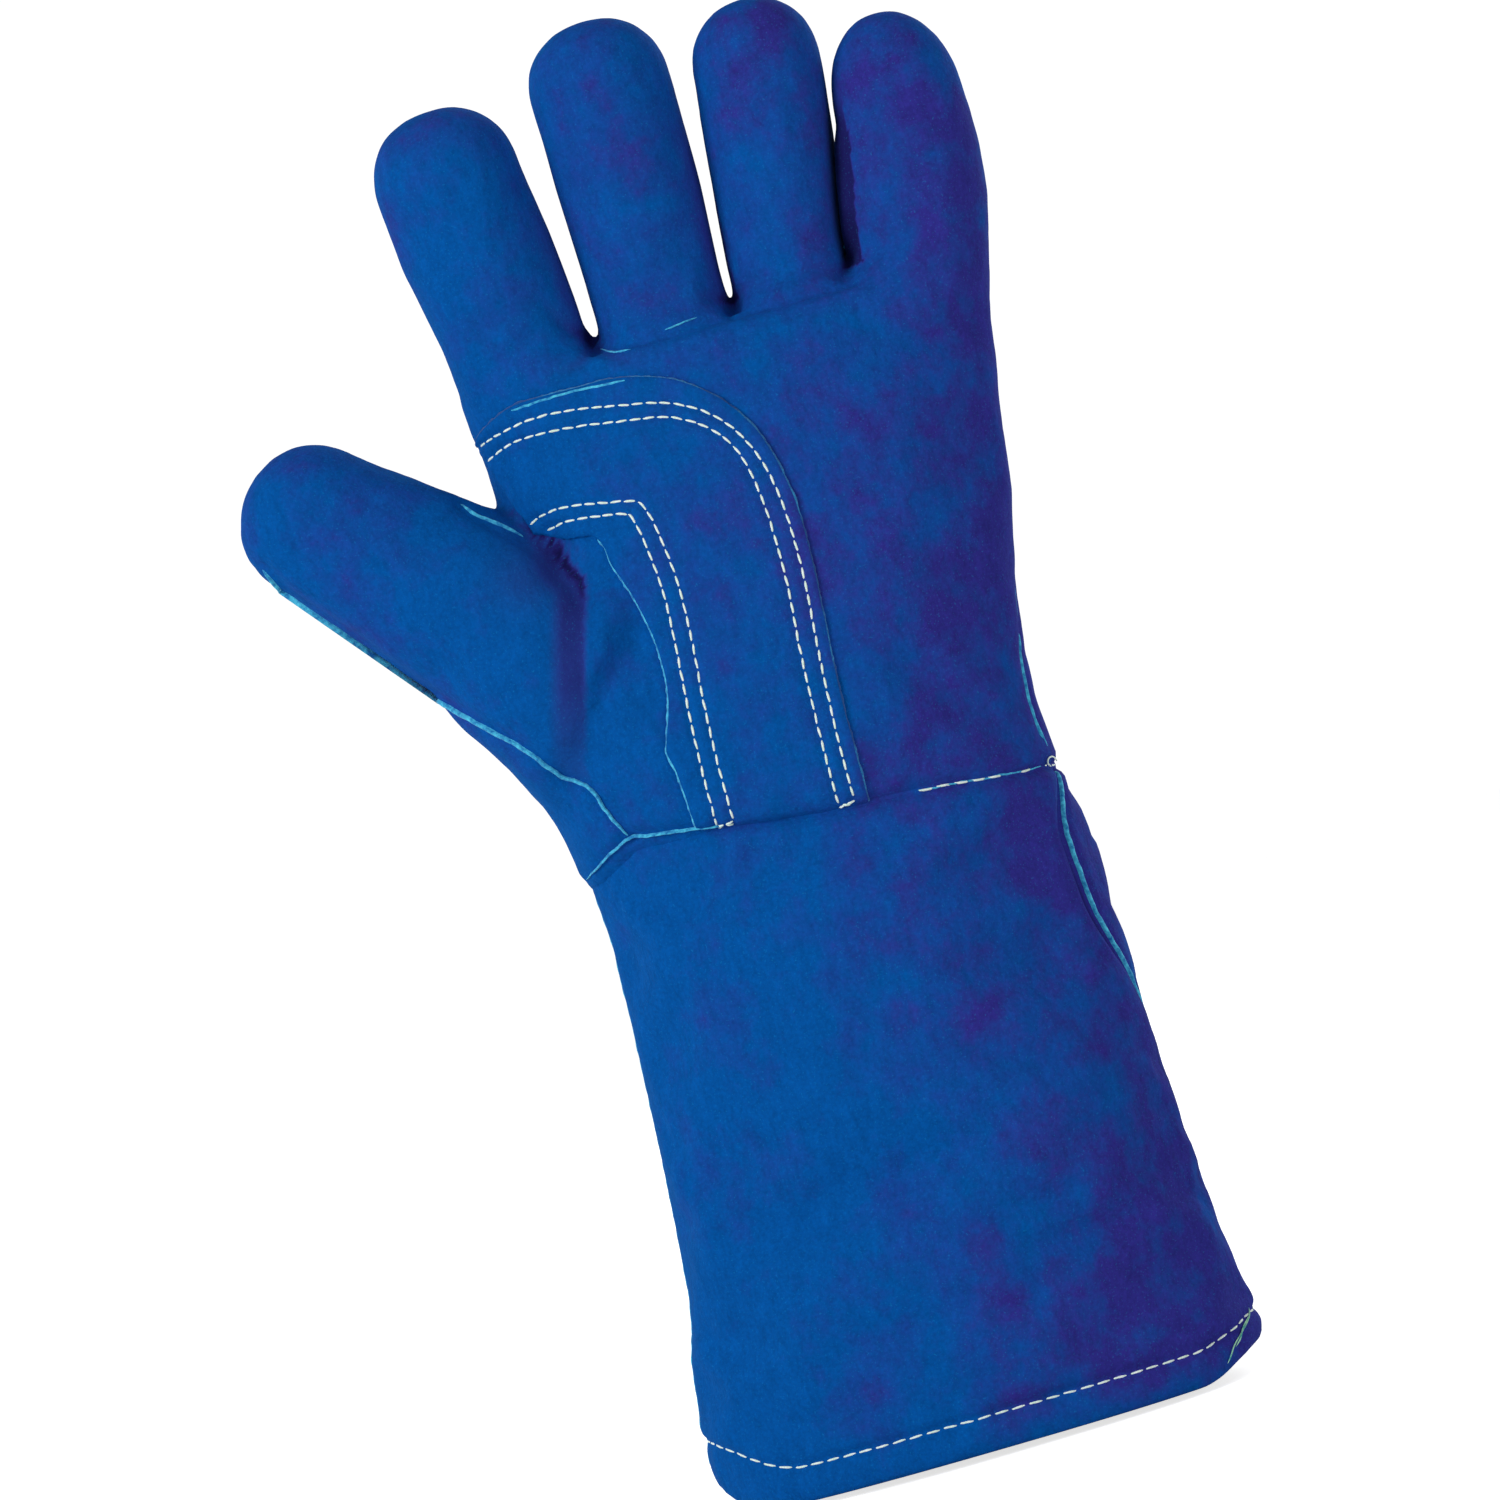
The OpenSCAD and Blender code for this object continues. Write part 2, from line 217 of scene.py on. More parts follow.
# The thumb's own axes: s runs along it, u across it in the plane of the palm.
swing, bend = joint_at("thumb_swing"), joint_at("thumb_tip_bend")
BEND_AXIS = np.array(JOINTS["thumb_tip_bend"]["axis"])
THUMB_U = np.array([BEND_AXIS[0], 0, BEND_AXIS[2]])
THUMB_S = np.array([-BEND_AXIS[2], 0, BEND_AXIS[0]])
THUMB_BEND_S = 39.0
THUMB_ROOT = bend - THUMB_BEND_S * THUMB_S + np.array([0, 5.0, 0])


def thumb_place(p):
    r = p - THUMB_ROOT
    return r @ THUMB_U, r[:, 1] + 0.10 * np.maximum(r @ THUMB_S - 28, 0), r @ THUMB_S


STALLS["thumb"] = Stall((-28, -6, 5, 18, 31, 47), (-3, -1.0, 0.4, 0.5, 0.4, 0.1),
                        (26, 24.4, 23.3, 22.1, 20.8, 18.8), 65.9, 0.86, 2.2, thumb_place)
HEEL = (np.array([-54, -9, 206.0]), np.array([-38, -4, 172.0]), 19.6, 18.8)


def heel_field(p):
    a, b, ra, rb = HEEL
    d = b - a
    t = np.clip(((p - a) @ d) / (d @ d), 0, 1)
    return np.linalg.norm(p - (a + t[:, None] * d), axis=1) - (ra + (rb - ra) * t)


PALM_TOP = 278.5


def palm_field(p):
    return smin_high(oval_field(p), p[:, 2] - PALM_TOP, 5)


def smin_high(a, b, k):
    return -smin(-a, -b, k)


def thumb_field(p):
    return smin(STALLS["thumb"].field(p), heel_field(p), 10)


def finger_field(name, p):
    """One finger, kept on its own side of the narrow gaps beside it."""
    f = STALLS[name].field(p)
    i = FINGERS.index(name)
    if i < 3:
        f = smin_high(f, p[:, 0] - gap_x(name, p) + GAP_HALF, 1.2)
    if i > 0:
        f = smin_high(f, gap_x(FINGERS[i - 1], p) + GAP_HALF - p[:, 0], 1.2)
    return f


def hand_field(p):
    fingers = finger_field("index", p)
    for name in FINGERS[1:]:
        fingers = np.minimum(fingers, finger_field(name, p))
    f = smin(palm_field(p), fingers, np.interp(np.abs(p[:, 0] - 12), (48, 64), (7, 1.5)))
    k = np.interp(p[:, 2], (190, 215, 240), (16, 8, 2.5))
    return smin(f, thumb_field(p), k)


# The narrow gaps between fingers are widened while the surface is traced, then closed again.
GAPS = {
    "index": (((262, -21.3), (346, -23)), 0.0),
    "middle": (((262, 13.7), (281, 13.9), (300, 14.6), (340, 17.6)), 6.0),
    "ring": (((262, 43.1), (281, 43.3), (290, 44.1), (302, 46.3), (310, 47.9), (316, 49.1), (340, 53.5)), 8.0),
}
GAP_HALF = 0.24
GAP_SOFT = 0.8


def gap_x(name, p):
    """Where a gap's middle lies. The little finger leans over the ring finger on the palm side."""
    pts, z = GAPS[name][0], p[:, 2]
    x = np.interp(z, [q[0] for q in pts], [q[1] for q in pts])
    if name == "ring":
        x = x + 0.2 * (p[:, 1] - rest_bow(z, name)) * smooth(z, 279, 287) * (1 - smooth(z, 315, 326))
    return x


def beside_gap(p):
    """1 on the facing walls of neighbouring fingers, falling to 0 a few millimetres away."""
    near = sum(np.exp(-(((p[:, 0] - gap_x(g, p)) / 2.5) ** 2)) for g in GAPS)
    return near * smooth(p[:, 2], 272, 279)


def spread(p):
    """Real place to traced place."""
    q = p.copy()
    for name, (_, wide) in GAPS.items():
        if wide:
            q[:, 0] += wide * smooth(p[:, 0], gap_x(name, p) - GAP_SOFT, gap_x(name, p) + GAP_SOFT)
    return q


def unspread(q):
    """Traced place to real place, by halving the interval that holds it."""
    low, high, p = q[:, 0] - 16.0, q[:, 0] + 0.1, q.copy()
    for _ in range(24):
        p[:, 0] = (low + high) / 2
        over = spread(p)[:, 0] > q[:, 0]
        low, high = np.where(over, low, p[:, 0]), np.where(over, p[:, 0], high)
    return p


# ---------------------------------------------------------------- meshes


def surface_net(field, lo, hi, cell):
    n = np.ceil((np.array(hi) - lo) / cell).astype(int) + 1
    axes = [lo[i] + cell * np.arange(n[i]) for i in range(3)]
    grid = np.stack(np.meshgrid(*axes, indexing="ij"), -1).reshape(-1, 3)
    f = field(grid).reshape(n)
    m = n - 1

    def part(a, off):
        return a[tuple(slice(o, o + c) for o, c in zip(off, m))]

    inside = f < 0
    corners = sum(part(inside, o).astype(int) for o in itertools.product((0, 1), repeat=3))
    mixed = (corners > 0) & (corners < 8)
    cells = np.argwhere(mixed)
    number = np.full(m, -1)
    number[mixed] = np.arange(len(cells))
    total = np.zeros((len(cells), 3))
    count = np.zeros(len(cells))
    for axis in range(3):
        for a, b in itertools.product((0, 1), repeat=2):
            off = np.insert([a, b], axis, 0)
            end = off.copy()
            end[axis] += 1
            f0 = part(f, off)[mixed]
            f1 = part(f, end)[mixed]
            cross = (f0 < 0) != (f1 < 0)
            t = np.where(cross, f0 / np.where(cross, f0 - f1, 1), 0)
            at = np.tile(off.astype(float), (len(cells), 1))
            at[:, axis] += t
            total += at * cross[:, None]
            count += cross
    verts = np.array(lo) + cell * (cells + total / count[:, None])
    faces = []
    for axis in range(3):
        others = [k for k in range(3) if k != axis]
        lower = [slice(None)] * 3
        upper = [slice(None)] * 3
        lower[axis], upper[axis] = slice(0, -1), slice(1, None)
        i0, i1 = inside[tuple(lower)], inside[tuple(upper)]
        e = np.argwhere(i0 != i1)
        e = e[(e[:, others[0]] > 0) & (e[:, others[1]] > 0)
              & (e[:, others[0]] < m[others[0]]) & (e[:, others[1]] < m[others[1]])]
        ring = []
        for a, b in ((-1, -1), (0, -1), (0, 0), (-1, 0)):
            c = e.copy()
            c[:, others[0]] += a
            c[:, others[1]] += b
            ring.append(number[tuple(c.T)])
        quads = np.stack(ring, 1)
        flip = i0[tuple(e.T)] == (axis == 1)
        quads[flip] = quads[flip][:, ::-1]
        faces.append(quads)
    return verts, np.vstack(faces)


def neighbours(quads, n):
    e = np.vstack([quads[:, [i, (i + 1) % 4]] for i in range(4)])
    e = np.unique(np.sort(e, 1), axis=0)
    deg = np.zeros(n)
    np.add.at(deg, e.ravel(), 1)
    return e, np.maximum(deg, 1)


def averaged(v, e, deg):
    s = np.zeros_like(v)
    np.add.at(s, e[:, 0], v[e[:, 1]])
    np.add.at(s, e[:, 1], v[e[:, 0]])
    return s / (deg[:, None] if v.ndim > 1 else deg)


def slope(field, p, h=0.15):
    g = np.zeros_like(p)
    for k in range(3):
        d = np.zeros(3)
        d[k] = h
        g[:, k] = (field(p + d) - field(p - d)) / (2 * h)
    return g


def onto(field, p, times=3):
    for _ in range(times):
        g = slope(field, p)
        p = p - np.clip(field(p) / np.maximum((g**2).sum(1), 0.15), -2, 2)[:, None] * g
    return p


def normals(v, quads):
    n = np.cross(v[quads[:, 2]] - v[quads[:, 0]], v[quads[:, 3]] - v[quads[:, 1]])
    out = np.zeros_like(v)
    for k in range(quads.shape[1]):
        np.add.at(out, quads[:, k], n)
    return out / np.maximum(np.linalg.norm(out, axis=1, keepdims=True), 1e-12)


def new_object(name, v, faces):
    mesh = bpy.data.meshes.new(name)
    mesh.from_pydata((np.asarray(v) * MM).tolist(), [], [list(map(int, f)) for f in faces])
    mesh.update()
    ob = bpy.data.objects.new(name, mesh)
    bpy.context.scene.collection.objects.link(ob)
    return ob


def remove(ob):
    mesh = ob.data
    bpy.data.objects.remove(ob)
    bpy.data.meshes.remove(mesh)


def evaluated(ob):
    """A modified mesh's vertices (mm) and quads."""
    dg = bpy.context.evaluated_depsgraph_get()
    mesh = ob.evaluated_get(dg).to_mesh()
    v = np.zeros(len(mesh.vertices) * 3)
    mesh.vertices.foreach_get("co", v)
    loops = np.zeros(len(mesh.loops), int)
    mesh.loops.foreach_get("vertex_index", loops)
    return v.reshape(-1, 3) / MM, loops.reshape(-1, 4)


def puff(v, quads, held, cap, pressure=4.0, slack=-0.02, frames=20):
    """Blows the leather up a little between its held seams with a cloth simulation."""
    ob = new_object("cloth", v, quads)
    group = ob.vertex_groups.new(name="held")
    for i in np.nonzero(held > 0.01)[0]:
        group.add([int(i)], float(held[i]), "REPLACE")
    mod = ob.modifiers.new("cloth", "CLOTH")
    s = mod.settings
    s.quality = 5
    s.mass = 0.3
    s.tension_stiffness = s.compression_stiffness = 20
    s.shear_stiffness = 8
    s.bending_stiffness = 1.5
    s.use_pressure = True
    s.uniform_pressure_force = pressure
    s.vertex_group_mass = "held"
    s.shrink_min = slack
    s.effector_weights.gravity = 0
    mod.collision_settings.use_collision = False
    mod.point_cache.frame_start, mod.point_cache.frame_end = 1, frames
    for f in range(1, frames + 1):
        bpy.context.scene.frame_set(f)
    moved, _ = evaluated(ob)
    remove(ob)
    bpy.context.scene.frame_set(1)
    d = moved - v
    r = np.linalg.norm(d, axis=1, keepdims=True)
    return v + d * np.minimum(1, cap / np.maximum(r, 1e-9))


def subdivided(v, quads):
    ob = new_object("fine", v, quads)
    mod = ob.modifiers.new("fine", "SUBSURF")
    mod.levels = mod.render_levels = 1
    out = evaluated(ob)
    remove(ob)
    return out


# ---------------------------------------------------------------- seams and creases on the palm side

WRIST_FRONT = ((-60, 156), (-52, 161), (-46, 164), (-40, 163), (-20, 160), (0, 157), (25, 155.5), (55, 152.5), (60, 152))
WRIST_BACK = ((-60, 156), (-30, 157.5), (0, 157), (30, 155), (60, 152))
THUMB_WELT = ((-113.4, 251), (-107.8, 240.3), (-99.6, 231.3), (-85, 213), (-75, 202), (-65, 192), (-58, 183), (-52, 178), (-49, 170), (-46, 164))
THUMB_WELT_TOP = ((-63, 253), (-60, 249), (-55, 245), (-50, 240.5))
THUMB_CREASE = ((-50.5, 244), (-44.8, 240), (-42.4, 232), (-40, 225), (-42.8, 215), (-45.4, 206), (-47.7, 198), (-51, 186.5))
FINGER_SEAM = ((-20.5, 281.5), (-15, 279.5), (-2, 278.6), (13, 279), (28, 278.4), (43.5, 278.5))
THUMB_FOLDS = (
    ((-52, 247), (-47.5, 245.5), (-43, 240)),
    ((-49, 241), (-46.5, 236), (-44.5, 229)),
    ((-44, 238), (-39.5, 235), (-36.5, 230)),
)
FOLDS = (
    ((-21, 280), (-15, 275.5), (-8, 276)),
    ((-21.5, 281), (-26, 277.5), (-33, 277)),
    ((-22, 283), (-27, 288), (-30, 296)),
    ((13.5, 281), (9, 284.5), (3, 286)),
    ((14, 281), (18, 284), (24, 284.5)),
    ((41.5, 281), (36, 283.5), (31, 284)),
    ((43, 282), (46, 288), (47, 296)),
)


def painted_palm_shade(v, n):
    """Painted shade on the palm side: how dark its creases and folds, and the fingers' sides turned from the light, are
    painted: 1 is violet, 2 nearly black.
    """
    at = laid(v)
    line = curve(THUMB_CREASE, step=1.0)
    d, t = path_distance(at, line)
    right = at[:, 0] > np.interp(-at[:, 1], -line[:, 1], line[:, 0])
    dark = np.where(right, np.exp(-((d / 0.7) ** 2)), 1 - smooth(d, 4.5, 9.0))
    dark = dark * np.interp(t, (0, 0.12, 0.3, 0.45, 0.75, 1), (0.1, 0.5, 0.8, 1.05, 0.95, 0.3))
    dark += 1.9 * np.exp(-((d / 1.0) ** 2)) * np.interp(t, (0, 0.1, 0.3, 0.42), (0.3, 1, 1, 0))
    dark += 0.4 * np.exp(-(((at[:, 0] + 52) / 8) ** 2 + ((at[:, 1] - 231) / 7) ** 2))
    for fold in THUMB_FOLDS:
        d, t = path_distance(at, curve(fold, step=1.0))
        dark += 0.8 * np.exp(-((d / 0.8) ** 2)) * (1 - t)
    for fold in FOLDS:
        d, t = path_distance(at, curve(fold, step=1.0))
        dark += 0.7 * np.exp(-((d / 1.2) ** 2)) * (1 - t)
    # painted shade on the right sides of the index, middle and ring fingers, which turn away from the light
    for name, amount in (("index", 0.8), ("middle", 1.0), ("ring", 1.6)):
        st = STALLS[name]
        u = (v[:, 0] - np.interp(v[:, 2], st.s, st.centre)) / np.interp(v[:, 2], st.s, st.half)
        down = 1 - smooth(v[:, 2], st.s[-1] - 25, st.s[-1] - 2)
        mine = (v[:, 2] > 281) & (u > 0) & (u < 1.15)
        dark += amount * smooth(u, 0.7, 1.0) * down * mine
    return np.clip(dark * smooth(-n[:, 1], -0.2, 0.2), 0, 2)


def wrist_z(x, y):
    front = np.interp(x, *zip(*WRIST_FRONT))
    back = np.interp(x, *zip(*WRIST_BACK))
    return front + (back - front) * smooth(y, -8, 8)


EYE = np.array([-12.0, -1500.0, 176.0])        # where the seam paths on the palm side are laid out from


def laid(v):
    """The x and z of a point as it is laid out on the plane y = 0, seen from EYE."""
    t = EYE[1] / (EYE[1] - v[:, 1:2])
    return (EYE + (v - EYE) * t)[:, [0, 2]]


def valley(v, n, points, width, depth, along=None, beyond=None):
    """Pushes the palm side in along a path. beyond is another width, for the right of the path."""
    line = curve(points, step=1.5)
    at = laid(v)
    d, t = path_distance(at, line)
    facing = smooth(-n[:, 1], 0.0, 0.35)
    if beyond:
        width = np.where(at[:, 0] > np.interp(-at[:, 1], -line[:, 1], line[:, 0]), beyond, width)
    amount = depth * np.exp(-((d / width) ** 2)) * facing
    if along is not None:
        amount = amount * np.interp(t, *along)
    return amount


def build_hand():
    v, q = surface_net(lambda p: hand_field(unspread(p)), np.array((-120.0, -42, 144)), (101.5, 42, 362), 2.5)
    v = unspread(v)
    e, deg = neighbours(q, len(v))
    v = onto(hand_field, v, 4)
    for _ in range(6):
        v = v + 0.4 * (averaged(v, e, deg) - v)
        v = onto(hand_field, v, 2)
    return v, q


SEAM_SHIFT = 9.0        # the right side seam turns towards the palm side near the wrist


def side_seam_y(p):
    """Where the seam between the front and back leathers runs, as a height over the plane y = 0."""
    y = np.zeros(len(p))
    lanes = [gap_x(n, p) for n in ("index", "middle", "ring")]
    which = sum((p[:, 0] > g).astype(int) for g in lanes)
    for i, name in enumerate(FINGERS):
        y = np.where(which == i, rest_bow(p[:, 2], name), y)
    return y - SEAM_SHIFT * (1 - smooth(p[:, 2], 166, 212)) * (p[:, 0] > 20)



# ---------------------------------------------------------------- what moves with what

WRIST_ZONE = (142.0, 172.0)     # the leather bends between these heights
SWING_ZONE = (-13.0, 9.0)       # and the thumb's root between these distances from its hinge
BEND_ZONE = (-10.5, 11.5)
SWING_AXIS = np.array(JOINTS["thumb_swing"]["axis"])
SWING_OUT = np.cross(SWING_AXIS, [0.0, 1.0, 0.0])
SWING_OUT = SWING_OUT * np.sign(-SWING_OUT[0]) / np.linalg.norm(SWING_OUT)


def up(z):
    return (0, 0, z * MM)


def along(at, direction, far):
    return tuple((np.array(at) + np.array(direction) * far) * MM)


ZONES = {"hand": ("cuff", "hand", up(WRIST_ZONE[0]), up(WRIST_ZONE[1]))}
FINGER_Z = {}
for name in FINGERS:
    kz, tz = joint_at(name + "_knuckle")[2], joint_at(name + "_tip_bend")[2]
    mid, reach = (kz + tz) / 2, max((tz - kz) / 2, 11.8)
    FINGER_Z[name] = (kz - reach, mid, tz + reach)
    ZONES[name + "_base"] = ("hand", name + "_base", up(kz - reach), up(mid))
    ZONES[name + "_tip"] = (name + "_base", name + "_tip", up(mid), up(tz + reach))
ZONES["thumb_base"] = ("hand", "thumb_base", along(swing, SWING_OUT, SWING_ZONE[0]), along(swing, SWING_OUT, SWING_ZONE[1]))
ZONES["thumb_tip"] = ("thumb_base", "thumb_tip", along(bend, THUMB_S, BEND_ZONE[0]), along(bend, THUMB_S, BEND_ZONE[1]))
REGIONS = list(ZONES)


def region_of(p):
    """The number of the region each point belongs to."""
    out = np.zeros(len(p), int)
    lanes = [gap_x(n, p) for n in ("index", "middle", "ring")]
    which = sum((p[:, 0] > g).astype(int) for g in lanes)
    for i, name in enumerate(FINGERS):
        low, mid, _ = FINGER_Z[name]
        here = (which == i) & (p[:, 2] > low - 0.5)
        out[here & (p[:, 2] <= mid)] = REGIONS.index(name + "_base")
        out[here & (p[:, 2] > mid)] = REGIONS.index(name + "_tip")
    swung = (p - swing) @ SWING_OUT > SWING_ZONE[0] - 0.3
    nearer = thumb_field(p) < np.minimum(palm_field(p), STALLS["index"].field(p))
    thumb = swung & ((p[:, 2] < 238) | nearer) & (p[:, 0] < -40) & (p[:, 2] > WRIST_ZONE[1])
    tip = (p - bend) @ THUMB_S > BEND_ZONE[0]
    out[thumb & ~tip] = REGIONS.index("thumb_base")
    out[thumb & tip] = REGIONS.index("thumb_tip")
    return out


# ---------------------------------------------------------------- pieces

MATERIAL = {}


def piece(name, v, faces, material, region=None, body=None, replaces=(), normal=None, slot=None, dark=None):
    """A mesh piece with its rest places stored: left in place for a region, or riding on one body."""
    used, back = np.unique(np.asarray(faces), return_inverse=True)
    f = back.reshape(np.asarray(faces).shape)
    ob = new_object(name, v[used], f)
    mesh = ob.data
    rest = mesh.attributes.new("rest", "FLOAT_VECTOR", "POINT")
    rest.data.foreach_set("vector", (v[used] * MM).astype(np.float32).ravel())
    mesh.polygons.foreach_set("use_smooth", np.ones(len(mesh.polygons), bool))
    if dark is not None:
        mesh.attributes.new("dark", "FLOAT", "POINT").data.foreach_set("value", dark[used].astype(np.float32))
    if normal is not None:
        mesh.normals_split_custom_set_from_vertices(normal[used].tolist())
    mesh.materials.append(MATERIAL[material])
    if region:
        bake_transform(ob)
    else:
        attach(ob, body)
    if replaces:
        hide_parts(*replaces)
    return ob


def split_pieces(label, v, faces, material, normal=None, names=None, dark=None):
    """One piece for each region that the faces reach."""
    region = region_of(v[faces].mean(1))
    for i in np.unique(region):
        name = REGIONS[i]
        title = f"{name}_{label}"
        nodes = (names or {}).get(name, ())
        piece(title, v, faces[region == i], material, region=name, replaces=nodes, normal=normal, dark=dark)


def ribbon(path, n, half, high, seed=0, rough=0.18, cuts=4):
    """A low domed strip along a path on a surface, with an uneven cut edge."""
    m = len(path)
    t = np.gradient(path, axis=0)
    t /= np.maximum(np.linalg.norm(t, axis=1, keepdims=True), 1e-9)
    side = np.cross(t, n)
    side /= np.maximum(np.linalg.norm(side, axis=1, keepdims=True), 1e-9)
    wob = wander(path, 1.6, seed) * rough
    wob2 = wander(path, 2.3, seed + 9) * rough
    ends = np.clip(np.minimum(np.arange(m), np.arange(m)[::-1]) / 4.0, 0, 1) ** 0.5
    half, high = half * np.ones(m) * (0.4 + 0.6 * ends), high * np.ones(m) * ends
    rows = []
    for k in range(cuts + 1):
        a = -1 + 2 * k / cuts
        out = side * ((a + wob) * half * (1 + wob2 * np.sign(a)))[:, None]
        lift = (high * (1 - a * a) ** 0.5 * (1 + 0.6 * wob2) - 0.3 * (abs(a) == 1))[:, None]
        rows.append(path + out + n * lift)
    v = np.stack(rows, 1).reshape(-1, 3)
    q = [[i * (cuts + 1) + k, i * (cuts + 1) + k + 1, (i + 1) * (cuts + 1) + k + 1, (i + 1) * (cuts + 1) + k]
         for i in range(m - 1) for k in range(cuts)]
    return v, np.array(q)


def joined(parts):
    v, f, base = [], [], 0
    for a, b in parts:
        v.append(a)
        f.append(b + base)
        base += len(a)
    return np.vstack(v), np.vstack(f)


def bvh(v, quads):
    return BVHTree.FromPolygons(v.tolist(), quads.tolist())


def cast(tree, origins, directions):
    """Where rays meet the surface, and its outward normal there. A missed ray repeats its neighbour."""
    hits = [tree.ray_cast(Vector(o), Vector(d).normalized())[:2] for o, d in zip(origins, directions)]
    good = [i for i, h in enumerate(hits) if h[0] is not None]
    nearest = [good[min(np.searchsorted(good, i), len(good) - 1)] for i in range(len(hits))]
    return np.array([hits[i][0] for i in nearest]), np.array([hits[i][1] for i in nearest])


def on_palm(tree, path, step=0.9):
    """A path in x and z laid on the palm side."""
    xz = curve(path, step=step)
    d = np.stack([xz[:, 0], 0 * xz[:, 0], xz[:, 1]], 1) - EYE
    at, n = cast(tree, np.tile(EYE, (len(d), 1)), d)
    n = n * -np.sign(n[:, 1:2] + 1e-9)
    return at, softened(n)


def level(at):
    """The path with its steps in depth smoothed out."""
    at = at.copy()
    for _ in range(8):
        at[1:-1, 1] = (at[:-2, 1] + 2 * at[1:-1, 1] + at[2:, 1]) / 4
    return at


def softened(n, times=6):
    for _ in range(times):
        n[1:-1] = (n[:-2] + 2 * n[1:-1] + n[2:]) / 4
    return n / np.linalg.norm(n, axis=1, keepdims=True)


def from_inside(tree, origins, directions):
    at, n = cast(tree, origins, directions)
    d = np.asarray(directions)[: len(n)]
    n = n * np.sign((n * d).sum(1, keepdims=True) + 1e-9)
    for _ in range(4):
        at[1:-1] = (at[:-2] + 2 * at[1:-1] + at[2:]) / 4
    return at, softened(n)


STITCH_R = 0.3


def stitches(path, n, pitch, length, seed=0, lift=0.3, skip=()):
    """A row of separate lock stitches: each dives into the leather at both ends."""
    d = np.r_[0, np.cumsum(np.linalg.norm(np.diff(path, axis=0), axis=1))]
    count = int(d[-1] / pitch)
    rng = np.random.default_rng(seed)
    sides, cuts = 6, 7
    parts, centres = [], []
    for i in range(count):
        if i in skip:
            continue
        s0 = (i + 0.5) * d[-1] / count - length / 2 + rng.uniform(-0.12, 0.12)
        at = s0 + length * np.linspace(0, 1, cuts)
        p = np.stack([np.interp(at, d, path[:, k]) for k in range(3)], 1)
        m = np.stack([np.interp(at, d, n[:, k]) for k in range(3)], 1)
        m /= np.linalg.norm(m, axis=1, keepdims=True)
        t = p[-1] - p[0]
        t /= np.linalg.norm(t)
        b = np.cross(t, m)
        w = np.linspace(0, 1, cuts)
        slant = rng.uniform(-0.16, 0.16)
        p = p + b * ((w - 0.5) * slant * 2)[:, None] + m * (lift * np.sin(math.pi * w) ** 0.6 - 0.28)[:, None]
        r = STITCH_R * (0.55 + 0.5 * np.sin(math.pi * w) ** 0.5) * (1 + 0.13 * np.cos(5 * math.pi * w))
        ring = []
        for k in range(sides):
            a = 2 * math.pi * k / sides
            ring.append(p + r[:, None] * (b * math.cos(a) + m * math.sin(a)))
        v = np.stack(ring, 1).reshape(-1, 3)
        f = [[j * sides + k, j * sides + (k + 1) % sides, (j + 1) * sides + (k + 1) % sides, (j + 1) * sides + k]
             for j in range(cuts - 1) for k in range(sides)]
        parts.append((v, np.array(f)))
        centres.append(np.tile(p.mean(0), (len(f), 1)))
    v, f = joined(parts)
    return v, f, np.vstack(centres)


# ---------------------------------------------------------------- materials


def node_tree(name):
    mat = bpy.data.materials.new(name)
    mat.use_nodes = True
    nt = mat.node_tree
    return mat, nt, nt.nodes["Principled BSDF"]


def add(nt, kind, **values):
    nd = nt.nodes.new(kind)
    for key, val in values.items():
        if hasattr(nd, key):
            setattr(nd, key, val)
        else:
            nd.inputs[key.replace("_", " ")].default_value = val
    return nd


def link(nt, a, b, out=0, into=0):
    nt.links.new(a.outputs[out], b.inputs[into])
    return b


def noise_of(nt, vec, scale, detail=3.0, rough=0.55, stretch=None):
    if stretch:
        m = add(nt, "ShaderNodeMapping")
        m.inputs["Scale"].default_value = stretch
        link(nt, vec, m)
        vec = m
    nd = add(nt, "ShaderNodeTexNoise")
    nd.inputs["Scale"].default_value = scale
    nd.inputs["Detail"].default_value = detail
    nd.inputs["Roughness"].default_value = rough
    link(nt, vec, nd)
    return nd


def ramp(nt, src, stops):
    nd = add(nt, "ShaderNodeValToRGB")
    els = nd.color_ramp.elements
    while len(els) < len(stops):
        els.new(0.5)
    for el, (pos, col) in zip(els, stops):
        el.position = pos
        el.color = (*col, 1) if len(col) == 3 else col
    link(nt, src, nd)
    return nd


def maths(nt, op, a, b=None, clamp=False):
    nd = add(nt, "ShaderNodeMath")
    nd.operation = op
    nd.use_clamp = clamp
    for i, x in enumerate((a, b)):
        if x is None:
            continue
        if isinstance(x, (int, float)):
            nd.inputs[i].default_value = x
        else:
            nt.links.new(x.outputs[0], nd.inputs[i])
    return nd


def mix(nt, fac, a, b, mode="MIX"):
    nd = add(nt, "ShaderNodeMix")
    nd.data_type = "RGBA"
    nd.blend_type = mode
    nd.clamp_result = False
    for sock, x in ((nd.inputs[0], fac), (nd.inputs[6], a), (nd.inputs[7], b)):
        if isinstance(x, (int, float)):
            sock.default_value = x
        elif isinstance(x, tuple):
            sock.default_value = (*x, 1)
        else:
            nt.links.new(x.outputs[2 if x.bl_idname == "ShaderNodeMix" else 0], sock)
    return nd


def srgb(r, g, b):
    return tuple((c / 255 / 12.92) if c < 10.4 else ((c / 255 + 0.055) / 1.055) ** 2.4 for c in (r, g, b))


def rest_place(nt):
    nd = add(nt, "ShaderNodeAttribute")
    nd.attribute_name = "rest"
    vec = add(nt, "ShaderNodeVectorMath")
    vec.operation = "SCALE"
    vec.inputs["Scale"].default_value = 1.0
    nt.links.new(nd.outputs["Vector"], vec.inputs[0])
    return vec


